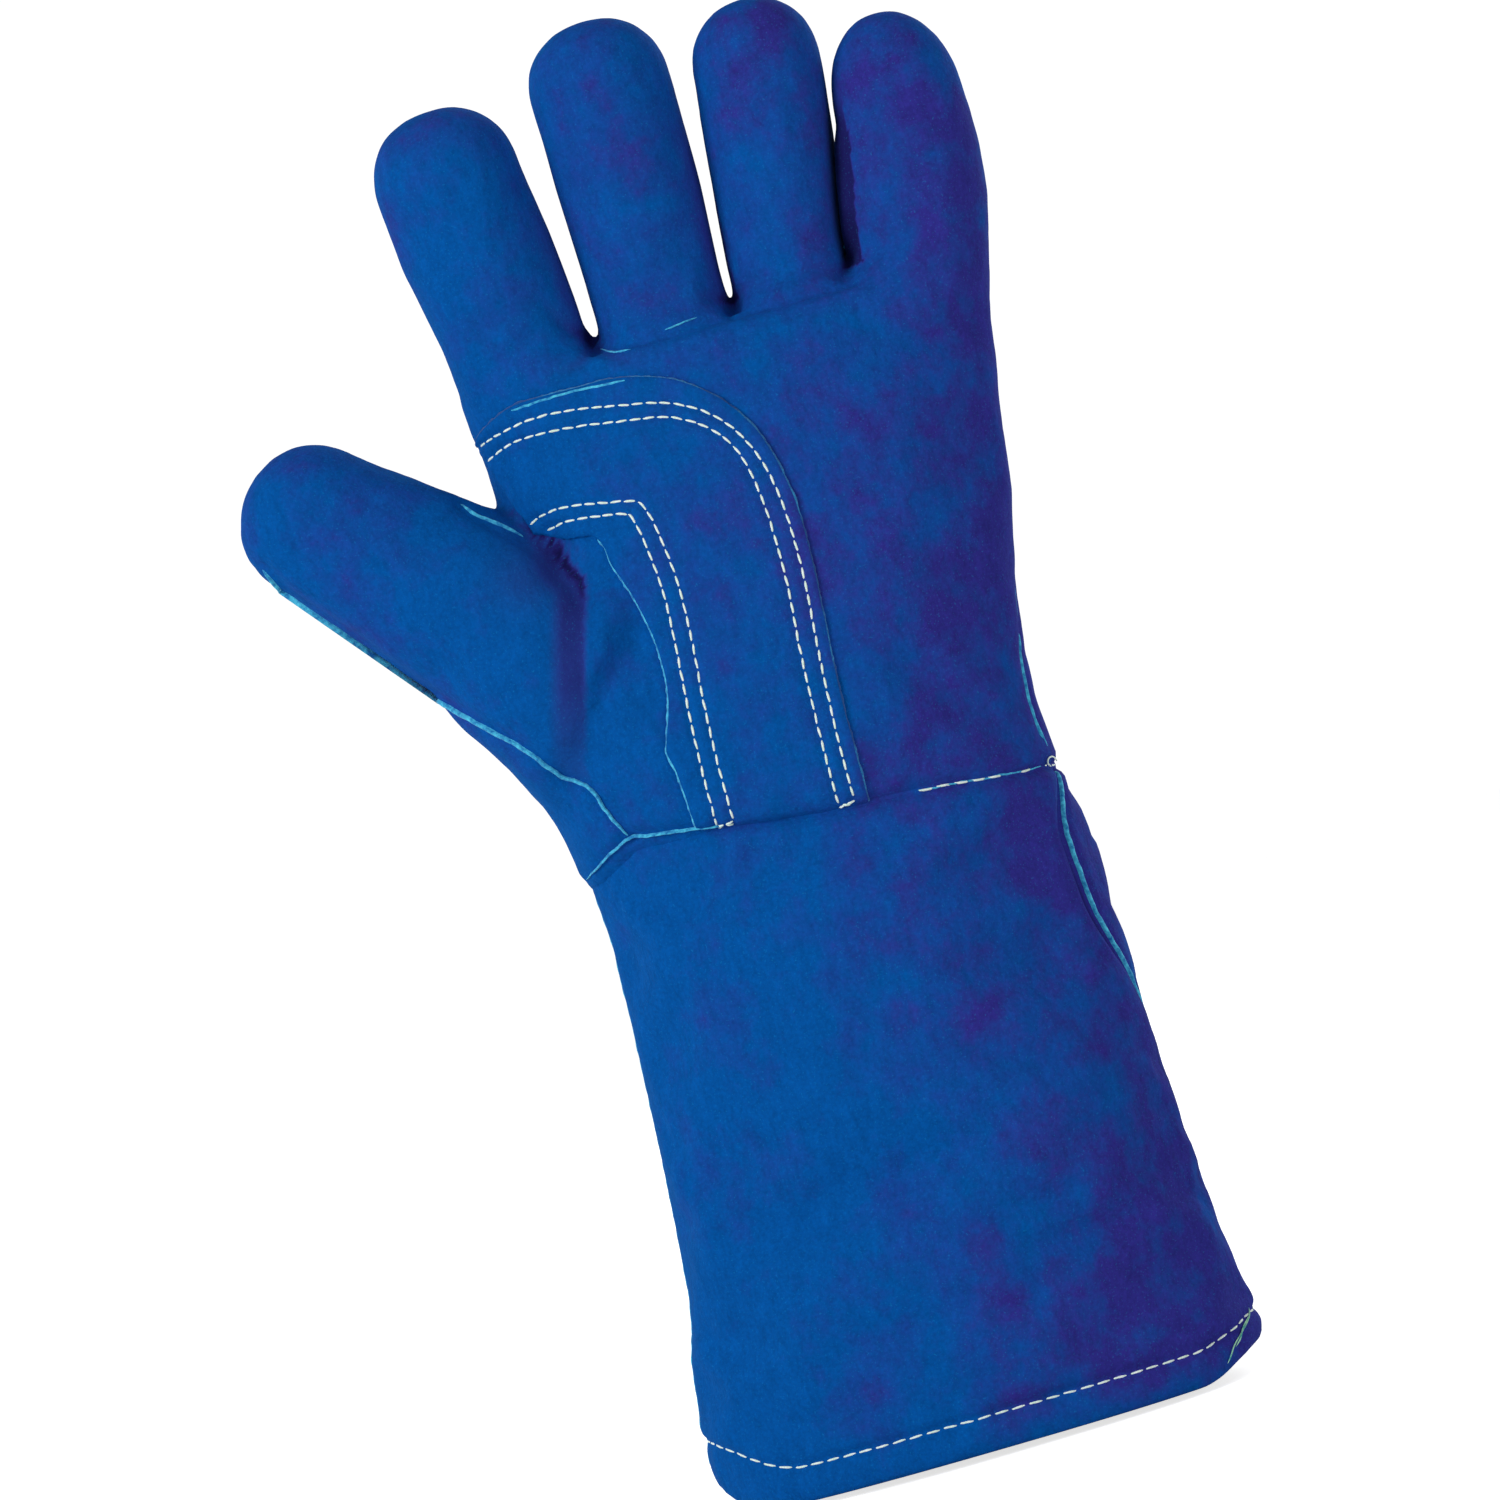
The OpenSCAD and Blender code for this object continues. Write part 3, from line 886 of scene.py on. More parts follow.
def suede(name, teal, mid, violet, fuzz):
    """Dyed split leather: the nap lies in soft patches, with fine fibres that catch the light. Painted shade: the
    colour runs darker from teal to violet away from the light, and the 'dark' attribute darkens the creases.
    """
    mat, nt, bsdf = node_tree(name)
    at = rest_place(nt)
    xyz = add(nt, "ShaderNodeSeparateXYZ")
    link(nt, at, xyz)

    def span(out, lo, hi, a, b):
        nd = add(nt, "ShaderNodeMapRange")
        for key, val in (("From Min", lo), ("From Max", hi), ("To Min", a), ("To Max", b)):
            nd.inputs[key].default_value = val
        nt.links.new(xyz.outputs[out], nd.inputs["Value"])
        return nd

    # painted shade: teal on the thumb's side, where the light falls, darker violet on the other, less so on the fingers
    across = maths(nt, "MULTIPLY", span("X", -0.055, 0.085, -0.38, 0.46), span("Z", 0.272, 0.315, 1.0, 0.35))
    thumb = span("X", -0.095, -0.062, 0.26, 0.0)
    wide = noise_of(nt, at, 16, 2)
    patches = noise_of(nt, at, 42, 5, 0.62, (1.0, 1.0, 0.8))
    tone = maths(nt, "ADD", maths(nt, "ADD", across, thumb), span("Z", 0.0, 0.011, 0.08, 0.36))
    tone = maths(nt, "ADD", tone, maths(nt, "MULTIPLY", maths(nt, "SUBTRACT", wide, 0.5), 0.7))
    blotch = noise_of(nt, at, 95, 6, 0.68)
    tone = maths(nt, "ADD", tone, maths(nt, "MULTIPLY", maths(nt, "SUBTRACT", patches, 0.5), 1.35))
    tone = maths(nt, "ADD", tone, maths(nt, "MULTIPLY", maths(nt, "SUBTRACT", blotch, 0.5), 1.1), clamp=True)
    colour = ramp(nt, tone, ((0.1, teal), (0.40, mid), (0.72, violet)))
    grain = noise_of(nt, at, 1100, 3, 0.6)
    streak = noise_of(nt, at, 420, 3, 0.6, (1.0, 1.0, 0.32))
    cloud = noise_of(nt, at, 230, 4, 0.6)
    value = maths(nt, "ADD", maths(nt, "MULTIPLY", grain, 0.48), maths(nt, "MULTIPLY", streak, 0.30))
    value = maths(nt, "ADD", value, maths(nt, "MULTIPLY", cloud, 0.22))
    shade = ramp(nt, value, ((0.36, (0.8,) * 3), (0.64, (1.2,) * 3)))
    colour = mix(nt, 1.0, colour, shade, "MULTIPLY")
    # painted shade from the 'dark' attribute: the palm's creases, folds and the fingers' shaded sides go violet, then
    # nearly black; on the cuff it holds a darker line beside the right seam
    fold = add(nt, "ShaderNodeAttribute")
    fold.attribute_name = "dark"
    shade_violet_mix = maths(nt, "MULTIPLY", 0.0, 0.75, clamp=True)
    nt.links.new(fold.outputs["Fac"], shade_violet_mix.inputs[0])
    colour = mix(nt, shade_violet_mix, colour, violet)
    deep = maths(nt, "SUBTRACT", 0.0, 0.75, clamp=True)
    nt.links.new(fold.outputs["Fac"], deep.inputs[0])
    colour = mix(nt, maths(nt, "MULTIPLY", deep, 0.75), colour, tuple(c * 0.12 for c in violet))
    speck = noise_of(nt, at, 2300, 2, 0.5)
    lit = ramp(nt, speck, ((0.63, (0, 0, 0)), (0.72, (1, 1, 1))))
    colour = mix(nt, maths(nt, "MULTIPLY", lit, 0.28), colour, fuzz)
    nt.links.new(colour.outputs[2], bsdf.inputs["Base Color"])
    bsdf.inputs["Roughness"].default_value = 0.92
    bsdf.inputs["Specular IOR Level"].default_value = 0.04
    bsdf.inputs["Sheen Weight"].default_value = 0.12
    bsdf.inputs["Sheen Roughness"].default_value = 0.45
    bsdf.inputs["Sheen Tint"].default_value = (*fuzz, 1)
    fine = noise_of(nt, at, 900, 4, 0.65)
    soft = noise_of(nt, at, 190, 4, 0.55)
    height = maths(nt, "ADD", maths(nt, "MULTIPLY", fine, 0.5), maths(nt, "MULTIPLY", soft, 1.0))
    bump = add(nt, "ShaderNodeBump")
    bump.inputs["Strength"].default_value = 0.65
    bump.inputs["Distance"].default_value = 0.0007
    nt.links.new(height.outputs[0], bump.inputs["Height"])
    nt.links.new(bump.outputs[0], bsdf.inputs["Normal"])
    return mat


def fibre(name, light, dark, scale, rough, depth, stretch=None, sheen=0.0, worn=None):
    """A plain fibrous surface: raw cut leather, fleece or thread. worn shows through in patches."""
    mat, nt, bsdf = node_tree(name)
    at = rest_place(nt)
    coarse = noise_of(nt, at, scale, 4, 0.62, stretch)
    colour = ramp(nt, coarse, ((0.32, dark), (0.66, light)))
    if worn:
        where = ramp(nt, noise_of(nt, at, 55, 3, 0.6), ((0.44, (0, 0, 0)), (0.56, (1, 1, 1))))
        colour = mix(nt, maths(nt, "MULTIPLY", where, 0.85), colour, worn)
    nt.links.new(colour.outputs["Result" if worn else "Color"] if not worn else colour.outputs[2], bsdf.inputs["Base Color"])
    bsdf.inputs["Roughness"].default_value = rough
    bsdf.inputs["Specular IOR Level"].default_value = 0.15
    bsdf.inputs["Sheen Weight"].default_value = sheen
    bump = add(nt, "ShaderNodeBump")
    bump.inputs["Strength"].default_value = 0.7
    bump.inputs["Distance"].default_value = depth
    nt.links.new(noise_of(nt, at, scale * 1.3, 4, 0.6, stretch).outputs[0], bump.inputs["Height"])
    nt.links.new(bump.outputs[0], bsdf.inputs["Normal"])
    return mat


# ---------------------------------------------------------------- building

SEAM_TUCK = 2.2
CUFF_SEAM_TURN = 0.47
RIM_LEFT, RIM_RIGHT, RIM_MID = 8.0, 6.5, 0.8
HEM_ROW = 8.7
COLUMNS = 192
ROLLED = ((15.6, 2.6), (15.4, 3.3), (14, 3.7), (11, 3.8), (8, 3.7), (5, 3.6), (2.6, 3.4), (1.1, 2.9),
          (0.3, 2.3), (0, 1.6), (0.3, 0.8), (1.2, 0.25), (2.4, 0.05))


def tucked(v, n, t):
    """Turns the surface in at a sewn edge; t is how far past the seam a point lies."""
    slim = 1 - 0.6 * smooth(-v[:, 0], 44, 57)
    return v - n * (slim * SEAM_TUCK * smooth(t, -3.0, 0.8) + 2.6 * smooth(t, 1.2, 7.0))[:, None]


def cuff_ring(z, columns, inset=0.0):
    """One ring of the cuff. Column 0 is the right side seam, and the palm side comes first."""
    half = columns // 2
    lo, hi, b, e = left_edge(z), right_edge(z), half_depth(z), squareness(z)
    turn = (CUFF_SEAM_TURN * smooth(z, 78, 121) - 0.06) * (1 - smooth(z, 134, 162))
    step = np.linspace(0, 1, half, endpoint=False)
    ang = np.r_[-turn - step * (math.pi - turn), -math.pi - step * (math.pi + turn)]
    c, w = np.cos(ang), np.sin(ang)
    u = np.sign(c) * np.abs(c) ** (2 / e)
    y = (b - inset) * np.sign(w) * np.abs(w) ** (2 / e)
    x = (lo + hi) / 2 + ((hi - lo) / 2 - inset) * u
    row = smooth(z, 1, 9)
    behind = smooth(w, -0.25, 0.3)
    lift = RIM_LEFT * (1 + 0.35 * row) * smooth(-u, 0.88 - 0.2 * row - 0.3 * behind, 1.05 + 0.1 * behind)
    lift = lift + RIM_RIGHT * (1 - 0.25 * row) * smooth(u, 0.74, 1.05) + RIM_MID * (1 - u * u)
    return np.stack([x, y, z + lift * (1 - smooth(z, 8, 75))], 1)


def grid_quads(rows, columns, closed=True):
    r, c = np.meshgrid(np.arange(rows - 1), np.arange(columns if closed else columns - 1), indexing="ij")
    d = (c + 1) % columns
    return np.stack([r * columns + c, (r + 1) * columns + c, (r + 1) * columns + d, r * columns + d], -1).reshape(-1, 4)


def ring_arc(rings):
    """Distance of each grid point from the right and the left seam, around its own ring."""
    step = np.linalg.norm(np.roll(rings, -1, 1) - rings, axis=2)
    arc = np.concatenate([np.zeros((len(rings), 1)), np.cumsum(step, 1)[:, :-1]], 1)
    total = step.sum(1)[:, None]
    left = arc[:, rings.shape[1] // 2][:, None]
    return np.where(arc > total / 2, arc - total, arc), arc - left


def cuff_swell(quick):
    """How far the cuff's wall stands out when it is blown up between its seams and its rim."""
    rows, columns = np.arange(0, 166, 4.5), 80
    rings = np.stack([cuff_ring(z, columns) for z in rows])
    if quick:
        return rows, columns, np.zeros(rings.shape[:2])
    v = rings.reshape(-1, 3)
    q = grid_quads(len(rows), columns)
    right, left = ring_arc(rings)
    seam = np.minimum(np.abs(right), np.abs(left)).ravel()
    held = np.maximum(1 - smooth(seam, 2, 7), np.maximum(1 - smooth(v[:, 2], 9, 13), smooth(v[:, 2], 150, 156)))
    blown = puff(v, q, np.maximum(held, 0.02), 3.0, pressure=2.0)
    n = normals(v, q)
    return rows, columns, ((blown - v) * n).sum(1).reshape(rings.shape[:2])


def build_cuff(quick):
    outer = np.r_[np.arange(3.6, 13.5, 0.7), np.arange(14.5, 145, 2.2), np.arange(146.5, 172, 1.2)]
    profile = list(ROLLED) + [(z, 0.0) for z in outer]
    rings = np.stack([cuff_ring(z, COLUMNS, inset) for z, inset in profile])
    rows = np.array([p[0] for p in profile])
    first = len(ROLLED) - 1
    v, q = rings.reshape(-1, 3), grid_quads(len(profile), COLUMNS)
    plain = np.stack([cuff_ring(max(z, 0), COLUMNS) for z in rows])
    out = normals(plain.reshape(-1, 3), q)
    out *= np.sign((out[:, :2] * v[:, :2]).sum(1, keepdims=True))
    out[:, 2] *= 0.3
    zr, cr, swell = cuff_swell(quick)
    at = np.arange(COLUMNS) * cr / COLUMNS
    i0 = at.astype(int)
    t = at - i0
    around = swell[:, i0] * (1 - t) + swell[:, (i0 + 1) % cr] * t
    grow = np.stack([np.interp(rows, zr, around[:, c]) for c in range(COLUMNS)], 1)
    right, left = ring_arc(rings)
    grow = grow * smooth(np.minimum(np.abs(right), np.abs(left)), 1, 14)
    z = rows[:, None]
    grow = grow - 0.85 * np.exp(-(((z - HEM_ROW) / 1.2) ** 2)) + 0.45 * np.exp(-(((z - 4.4) / 2.4) ** 2))
    grow += 0.25 * np.exp(-(((z - 12) / 2.0) ** 2))
    high = smooth(z, 16, 30)
    grow -= 1.0 * np.exp(-((right / 1.3) ** 2)) + 0.9 * np.exp(-((left / 1.2) ** 2))
    grow -= np.interp(z, (60, 100), (0.5, 1.5)) * np.exp(-(((right - 2.3) / 1.2) ** 2)) * high
    grow += 0.5 * np.exp(-(((right - 8) / 4.0) ** 2)) * high
    face = v + 0
    push = 0.8 * wander(face, 42, 13) + 0.3 * wander(face, 15, 17) + 0.09 * wander(face, 4, 19)
    ripple = 0.28 * wander(face * [1, 1, 0.15], 7, 23) * (1 - smooth(rows, 6, 24)).repeat(COLUMNS)
    near = (1 - smooth(rows, 140, 165)).repeat(COLUMNS) * 0.75 + 0.25
    open_side = smooth(np.minimum(np.abs(right), np.abs(left)), 3, 22).ravel()
    near = near * (0.3 + 0.7 * open_side)
    v = v + out * (grow.ravel() + push * near + ripple * (0.25 + 0.75 * open_side))[:, None]
    n = normals(v, q)
    if (n[:, :2] * v[:, :2]).sum(1)[-COLUMNS:].mean() < 0:
        q = q[:, ::-1]
        n = -n
    past = v[:, 2] - wrist_z(v[:, 0], v[:, 1])
    v = tucked(v, n, past)
    q = q[(past[q] < 7.5).any(1)]
    n = normals(v, q)
    line = np.interp(rows, (28, 40, 60, 120, 150), (0, 1.2, 1.5, 1.4, 0.3))
    from_seam = np.interp(rows, (84, 104), (8.5, 2.1))
    dark = line[:, None] * np.exp(-(((right - from_seam[:, None]) / 1.2) ** 2))
    return v, q, n, dark.ravel(), rows, first


PATCH_OUT = ((-55.5, 266.5), (-45, 271.5), (-30, 271.8), (-16, 270.8), (-4, 266.5), (5.5, 258.5), (11.5, 248.5), (14.8, 235),
             (15.3, 222), (14.3, 205), (12.8, 185), (12.0, 155.2))
PATCH_IN = ((-48, 241), (-42, 238.5), (-38, 237.2), (-34, 236.6), (-32, 233), (-31.5, 228), (-29, 220), (-26.7, 208), (-27.2, 195),
            (-30.6, 184), (-31.6, 181), (-30.5, 175), (-29.5, 158.6))
PATCH_CORNERS = (5, 3)          # the points of both edges that lie across from each other at the bend
ROWS = (
    ((-55.3, 264.3), (-49, 266.3), (-40, 267.6), (-30, 266.9), (-20, 265), (-9, 262.6), (-1, 258.6), (4.5, 253.5), (8.4, 247), (11, 239),
     (12.3, 228), (12.1, 212), (10.6, 195), (9.3, 175), (8.9, 158)),
    ((-54.5, 260.2), (-50, 262.3), (-44, 263.6), (-32, 263), (-20, 261.1), (-10, 259.3), (-3.5, 256.3), (1.6, 252), (5.1, 246.5), (7, 239),
     (8, 228), (7.8, 212), (6.3, 195), (5.3, 175), (4.9, 157.4)),
    ((-49.2, 242.6), (-44, 244.6), (-38, 244.8), (-30, 243.4), (-22.5, 241.7), (-20.3, 239.5), (-18.8, 233), (-17.6, 220), (-18.2, 205),
     (-19.6, 190), (-20.4, 175), (-20.6, 161)),
    ((-44.6, 240.6), (-39, 241.4), (-32, 240.6), (-25, 239.2), (-23.6, 237), (-22.4, 230), (-21.6, 218), (-22.3, 205),
     (-23.6, 190), (-24.5, 175), (-24.8, 160.6)),
)
BARS = (((4.6, 156.6), (9.2, 157.3)), ((4.8, 157.2), (9.0, 156.5)), ((-25.1, 160.0), (-20.3, 160.7)), ((-24.9, 160.6), (-20.5, 159.9)))
PATCH_T = 1.3


def matched(path, corner, m, n):
    """A curve with m points up to a corner and n after it."""
    line = curve(path, 400)
    at = np.argmin(((line - np.array(path[corner])) ** 2).sum(1))
    def even(p, k):
        d = np.r_[0, np.cumsum(np.linalg.norm(np.diff(p, axis=0), axis=1))]
        return np.stack([np.interp(np.linspace(0, d[-1], k), d, p[:, i]) for i in range(2)], 1)
    return np.vstack([even(line[: at + 1], m)[:-1], even(line[at:], n)])


def build_patch(skin):
    m, n, across = 90, 130, 56
    a = matched(PATCH_OUT, PATCH_CORNERS[0], m, n)
    b = matched(PATCH_IN, PATCH_CORNERS[1], m, n)
    rows = len(a)
    ragged = 0.22 * wander(np.c_[a, a[:, :1] * 0], 3.1, 31) + 0.12 * wander(np.c_[a, a[:, :1] * 0], 1.1, 33)
    ragged_in = 0.22 * wander(np.c_[b, b[:, :1] * 0], 3.3, 37) + 0.12 * wander(np.c_[b, b[:, :1] * 0], 1.1, 39)
    side = b - a
    side /= np.linalg.norm(side, axis=1, keepdims=True)
    a, b = a + side * ragged[:, None], b + side * ragged_in[:, None]
    w = np.linspace(0, 1, across)
    xz = a[:, None] * (1 - w[None, :, None]) + b[:, None] * w[None, :, None]
    flat = xz.reshape(-1, 2)
    d = np.stack([flat[:, 0], 0 * flat[:, 0], flat[:, 1]], 1) - EYE
    at, nn = cast(skin, np.tile(EYE, (len(d), 1)), d)
    nn *= -np.sign(nn[:, 1:2] + 1e-9)
    at, nn = at.reshape(rows, across, 3), nn.reshape(rows, across, 3)
    def blur(f, times):
        for _ in range(times):
            g = f.copy()
            g[1:-1] = (f[:-2] + 2 * f[1:-1] + f[2:]) / 4
            h = g.copy()
            h[:, 1:-1] = (g[:, :-2] + 2 * g[:, 1:-1] + g[:, 2:]) / 4
            f = h
        return f
    nn = blur(nn, 20)
    nn /= np.linalg.norm(nn, axis=2, keepdims=True)
    low = at
    at = blur(at, 6)
    lift = np.full((rows, across), PATCH_T)
    for line in ROWS:
        d, _ = path_distance(flat, curve(line, step=0.8))
        lift -= (0.55 * np.exp(-((d / 0.9) ** 2)) + 0.12 * np.exp(-((d / 2.2) ** 2))).reshape(rows, across)
    lift += 0.16 * wander(at.reshape(-1, 3), 8, 41).reshape(rows, across)
    d_out = np.arange(across)[None, :] * np.linalg.norm(b - a, axis=1)[:, None] / (across - 1)
    d_in = d_out[:, ::-1]
    edge = np.minimum(d_out, d_in)
    lift -= 0.35 * np.exp(-((edge / 0.5) ** 2))
    low_end = (1 - smooth(flat[:, 1] - wrist_z(flat[:, 0], -20 + 0 * flat[:, 0]), -1.5, 1.2)).reshape(rows, across)
    lift -= 1.6 * low_end
    lift[0] -= 0.8
    top = at + nn * lift[:, :, None]
    v = top.reshape(-1, 3)
    q = grid_quads(rows, across, closed=False)
    n2 = normals(v, q)
    if n2[:, 1].mean() > 0:
        q, n2 = q[:, ::-1], -n2
    # the cut edges: a thin wall from the patch's top down to the skin
    walls = []
    for k, sign, s in ((0, -1, 51), (across - 1, 1, 53)):
        outw = np.concatenate([side * sign, np.zeros((rows, 1))], 1)[:, [0, 2, 1]]
        fray = (0.28 + 0.2 * wander(top[:, k], 1.3, s))[:, None]
        strip = np.stack([top[:, k] + nn[:, k] * 0.03, top[:, k] + outw * fray * 1.0 - nn[:, k] * 0.18,
                          top[:, k] + outw * fray * 1.5 - nn[:, k] * 0.6, low[:, k] + outw * fray - nn[:, k] * 0.4], 1)
        walls.append((strip.reshape(-1, 3), grid_quads(rows, 4, closed=False)))
    return v, q, n2, walls


def finger_outline(tree, name):
    """The side seam of one finger: up the side towards the thumb, around the tip and down again."""
    st = STALLS[name]
    low, high = {"index": (287, 286), "middle": (286, 286), "ring": (286, 286), "little": (286, 288)}[name]
    top = st.s[-1] - 1.0
    o, d = [], []
    for z in np.arange(low, top, 0.9):
        o.append((np.interp(z, st.s, st.centre), z))
        d.append((-1, 0))
    c = np.interp(top, st.s, st.centre)
    for a in np.linspace(0, math.pi, 44)[1:-1]:
        o.append((c, top))
        d.append((-math.cos(a), math.sin(a)))
    for z in np.arange(top, high, -0.9):
        o.append((np.interp(z, st.s, st.centre), z))
        d.append((1, 0))
    o, d = np.array(o), np.array(d)
    y = rest_bow(o[:, 1], name)
    return from_inside(tree, np.stack([o[:, 0], y, o[:, 1]], 1), np.stack([d[:, 0], 0 * y, d[:, 1]], 1))


def thumb_outline(tree):
    st = STALLS["thumb"]
    top = st.s[-1] - 1.0
    o, d = [], []
    for s in np.arange(33, top, 0.9):
        o.append((np.interp(s, st.s, st.centre), s))
        d.append((-1, 0))
    for a in np.linspace(0, math.pi, 50)[1:-1]:
        o.append((st.centre[-1], top))
        d.append((-math.cos(a), math.sin(a)))
    for s in np.arange(top, 14, -0.9):
        o.append((np.interp(s, st.s, st.centre), s))
        d.append((1, 0))
    o, d = np.array(o), np.array(d)
    sink = -0.10 * np.maximum(o[:, 1] - 28, 0)
    at = THUMB_ROOT + o[:, :1] * THUMB_U + o[:, 1:] * THUMB_S + sink[:, None] * [0, 1, 0]
    return from_inside(tree, at, d[:, :1] * THUMB_U + d[:, 1:] * THUMB_S)


SEAM_EDGES = (
    ((-20, 279.5), (-17, 277.6), (-12.5, 277.2)),
    ((-4, 279.3), (0, 279.8), (5, 280.2)),
)
LOOSE = (
    (((66.5, 13.0), (65.2, 10), (62.6, 7.2), (60.0, 4.8), (57.6, 1.4)), 0.5),
    (((65.9, 11.0), (63.6, 8.6), (61.6, 6.0), (60.6, 4.6)), 0.7),
)


def tube(path, n, r, sides=6):
    t = np.gradient(path, axis=0)
    t /= np.linalg.norm(t, axis=1, keepdims=True)
    b = np.cross(t, n)
    b /= np.linalg.norm(b, axis=1, keepdims=True)
    m = np.cross(b, t)
    end = np.clip(np.minimum(np.arange(len(path)), np.arange(len(path))[::-1]) / 1.5 + 0.1, 0, 1)
    ring = [path + (r * end)[:, None] * (b * math.cos(a) + m * math.sin(a)) for a in 2 * math.pi * np.arange(sides) / sides]
    return np.stack(ring, 1).reshape(-1, 3), grid_quads(len(path), sides)


def right_side(skin, top, low):
    """The seam along the little finger's side of the hand."""
    z = np.arange(top, low, -0.9)
    inside = np.stack([z * 0 + 21, z * 0, z], 1)
    inside[:, 1] = side_seam_y(inside)
    return from_inside(skin, inside, np.tile([1.0, 0, 0], (len(z), 1)))


def welt_strips(skin):
    """The welts of the hand and the fingers, as strips in their seams."""
    parts = []
    for i, name in enumerate(FINGERS):
        at, n = finger_outline(skin, name)
        tight = {"middle": (0, 306), "ring": (1, 336), "little": (-1, 336)}.get(name)
        if tight:
            side, low = tight
            across = at[:, 0] - np.interp(at[:, 2], STALLS[name].s, STALLS[name].centre)
            keep = (at[:, 2] > low) | ((across * side < 0) if side else (across < 0))
            at, n = at[keep], n[keep]
        parts.append(ribbon(at - n * 0.72, n, 0.6, 0.7, 60 + i, 0.25))
    at, n = thumb_outline(skin)
    parts.append(ribbon(at - n * 0.75, n, 0.6, 0.7, 66, 0.25))
    at, n = right_side(skin, 288, 186)
    parts.append(ribbon(at - n * 0.45, n, 0.62, 0.8, 68, 0.25))
    z = np.arange(287, 254, -0.9)
    at, n = from_inside(skin, np.stack([z * 0 - 36, z * 0, z], 1), np.tile([-1.0, 0, 0], (len(z), 1)))
    parts.append(ribbon(at - n * 0.45, n, 0.62, 0.8, 70, 0.25))
    return parts


def bright_strips(skin):
    """The welts and cut edges that show on the palm side."""
    parts = []
    at, n = on_palm(skin, THUMB_WELT)
    twice = 1 + 0.35 * np.sin(np.linspace(0, math.pi, len(at)))
    parts.append(ribbon(at - n * 0.3, n, 0.56 * twice, 1.2, 72, 0.4))
    at, n = on_palm(skin, THUMB_WELT_TOP)
    parts.append(ribbon(at - n * 0.3, n, 0.5, 1.0, 74, 0.35))
    at, n = right_side(skin, 186, 156)
    parts.append(ribbon(at - n * 0.3, n, 0.55, 0.9, 75, 0.35))
    for i, path in enumerate(SEAM_EDGES):
        at, n = on_palm(skin, path, step=0.6)
        parts.append(ribbon(at - n * 0.1, n, 0.3, 0.42, 76 + i, 0.5))
    return parts


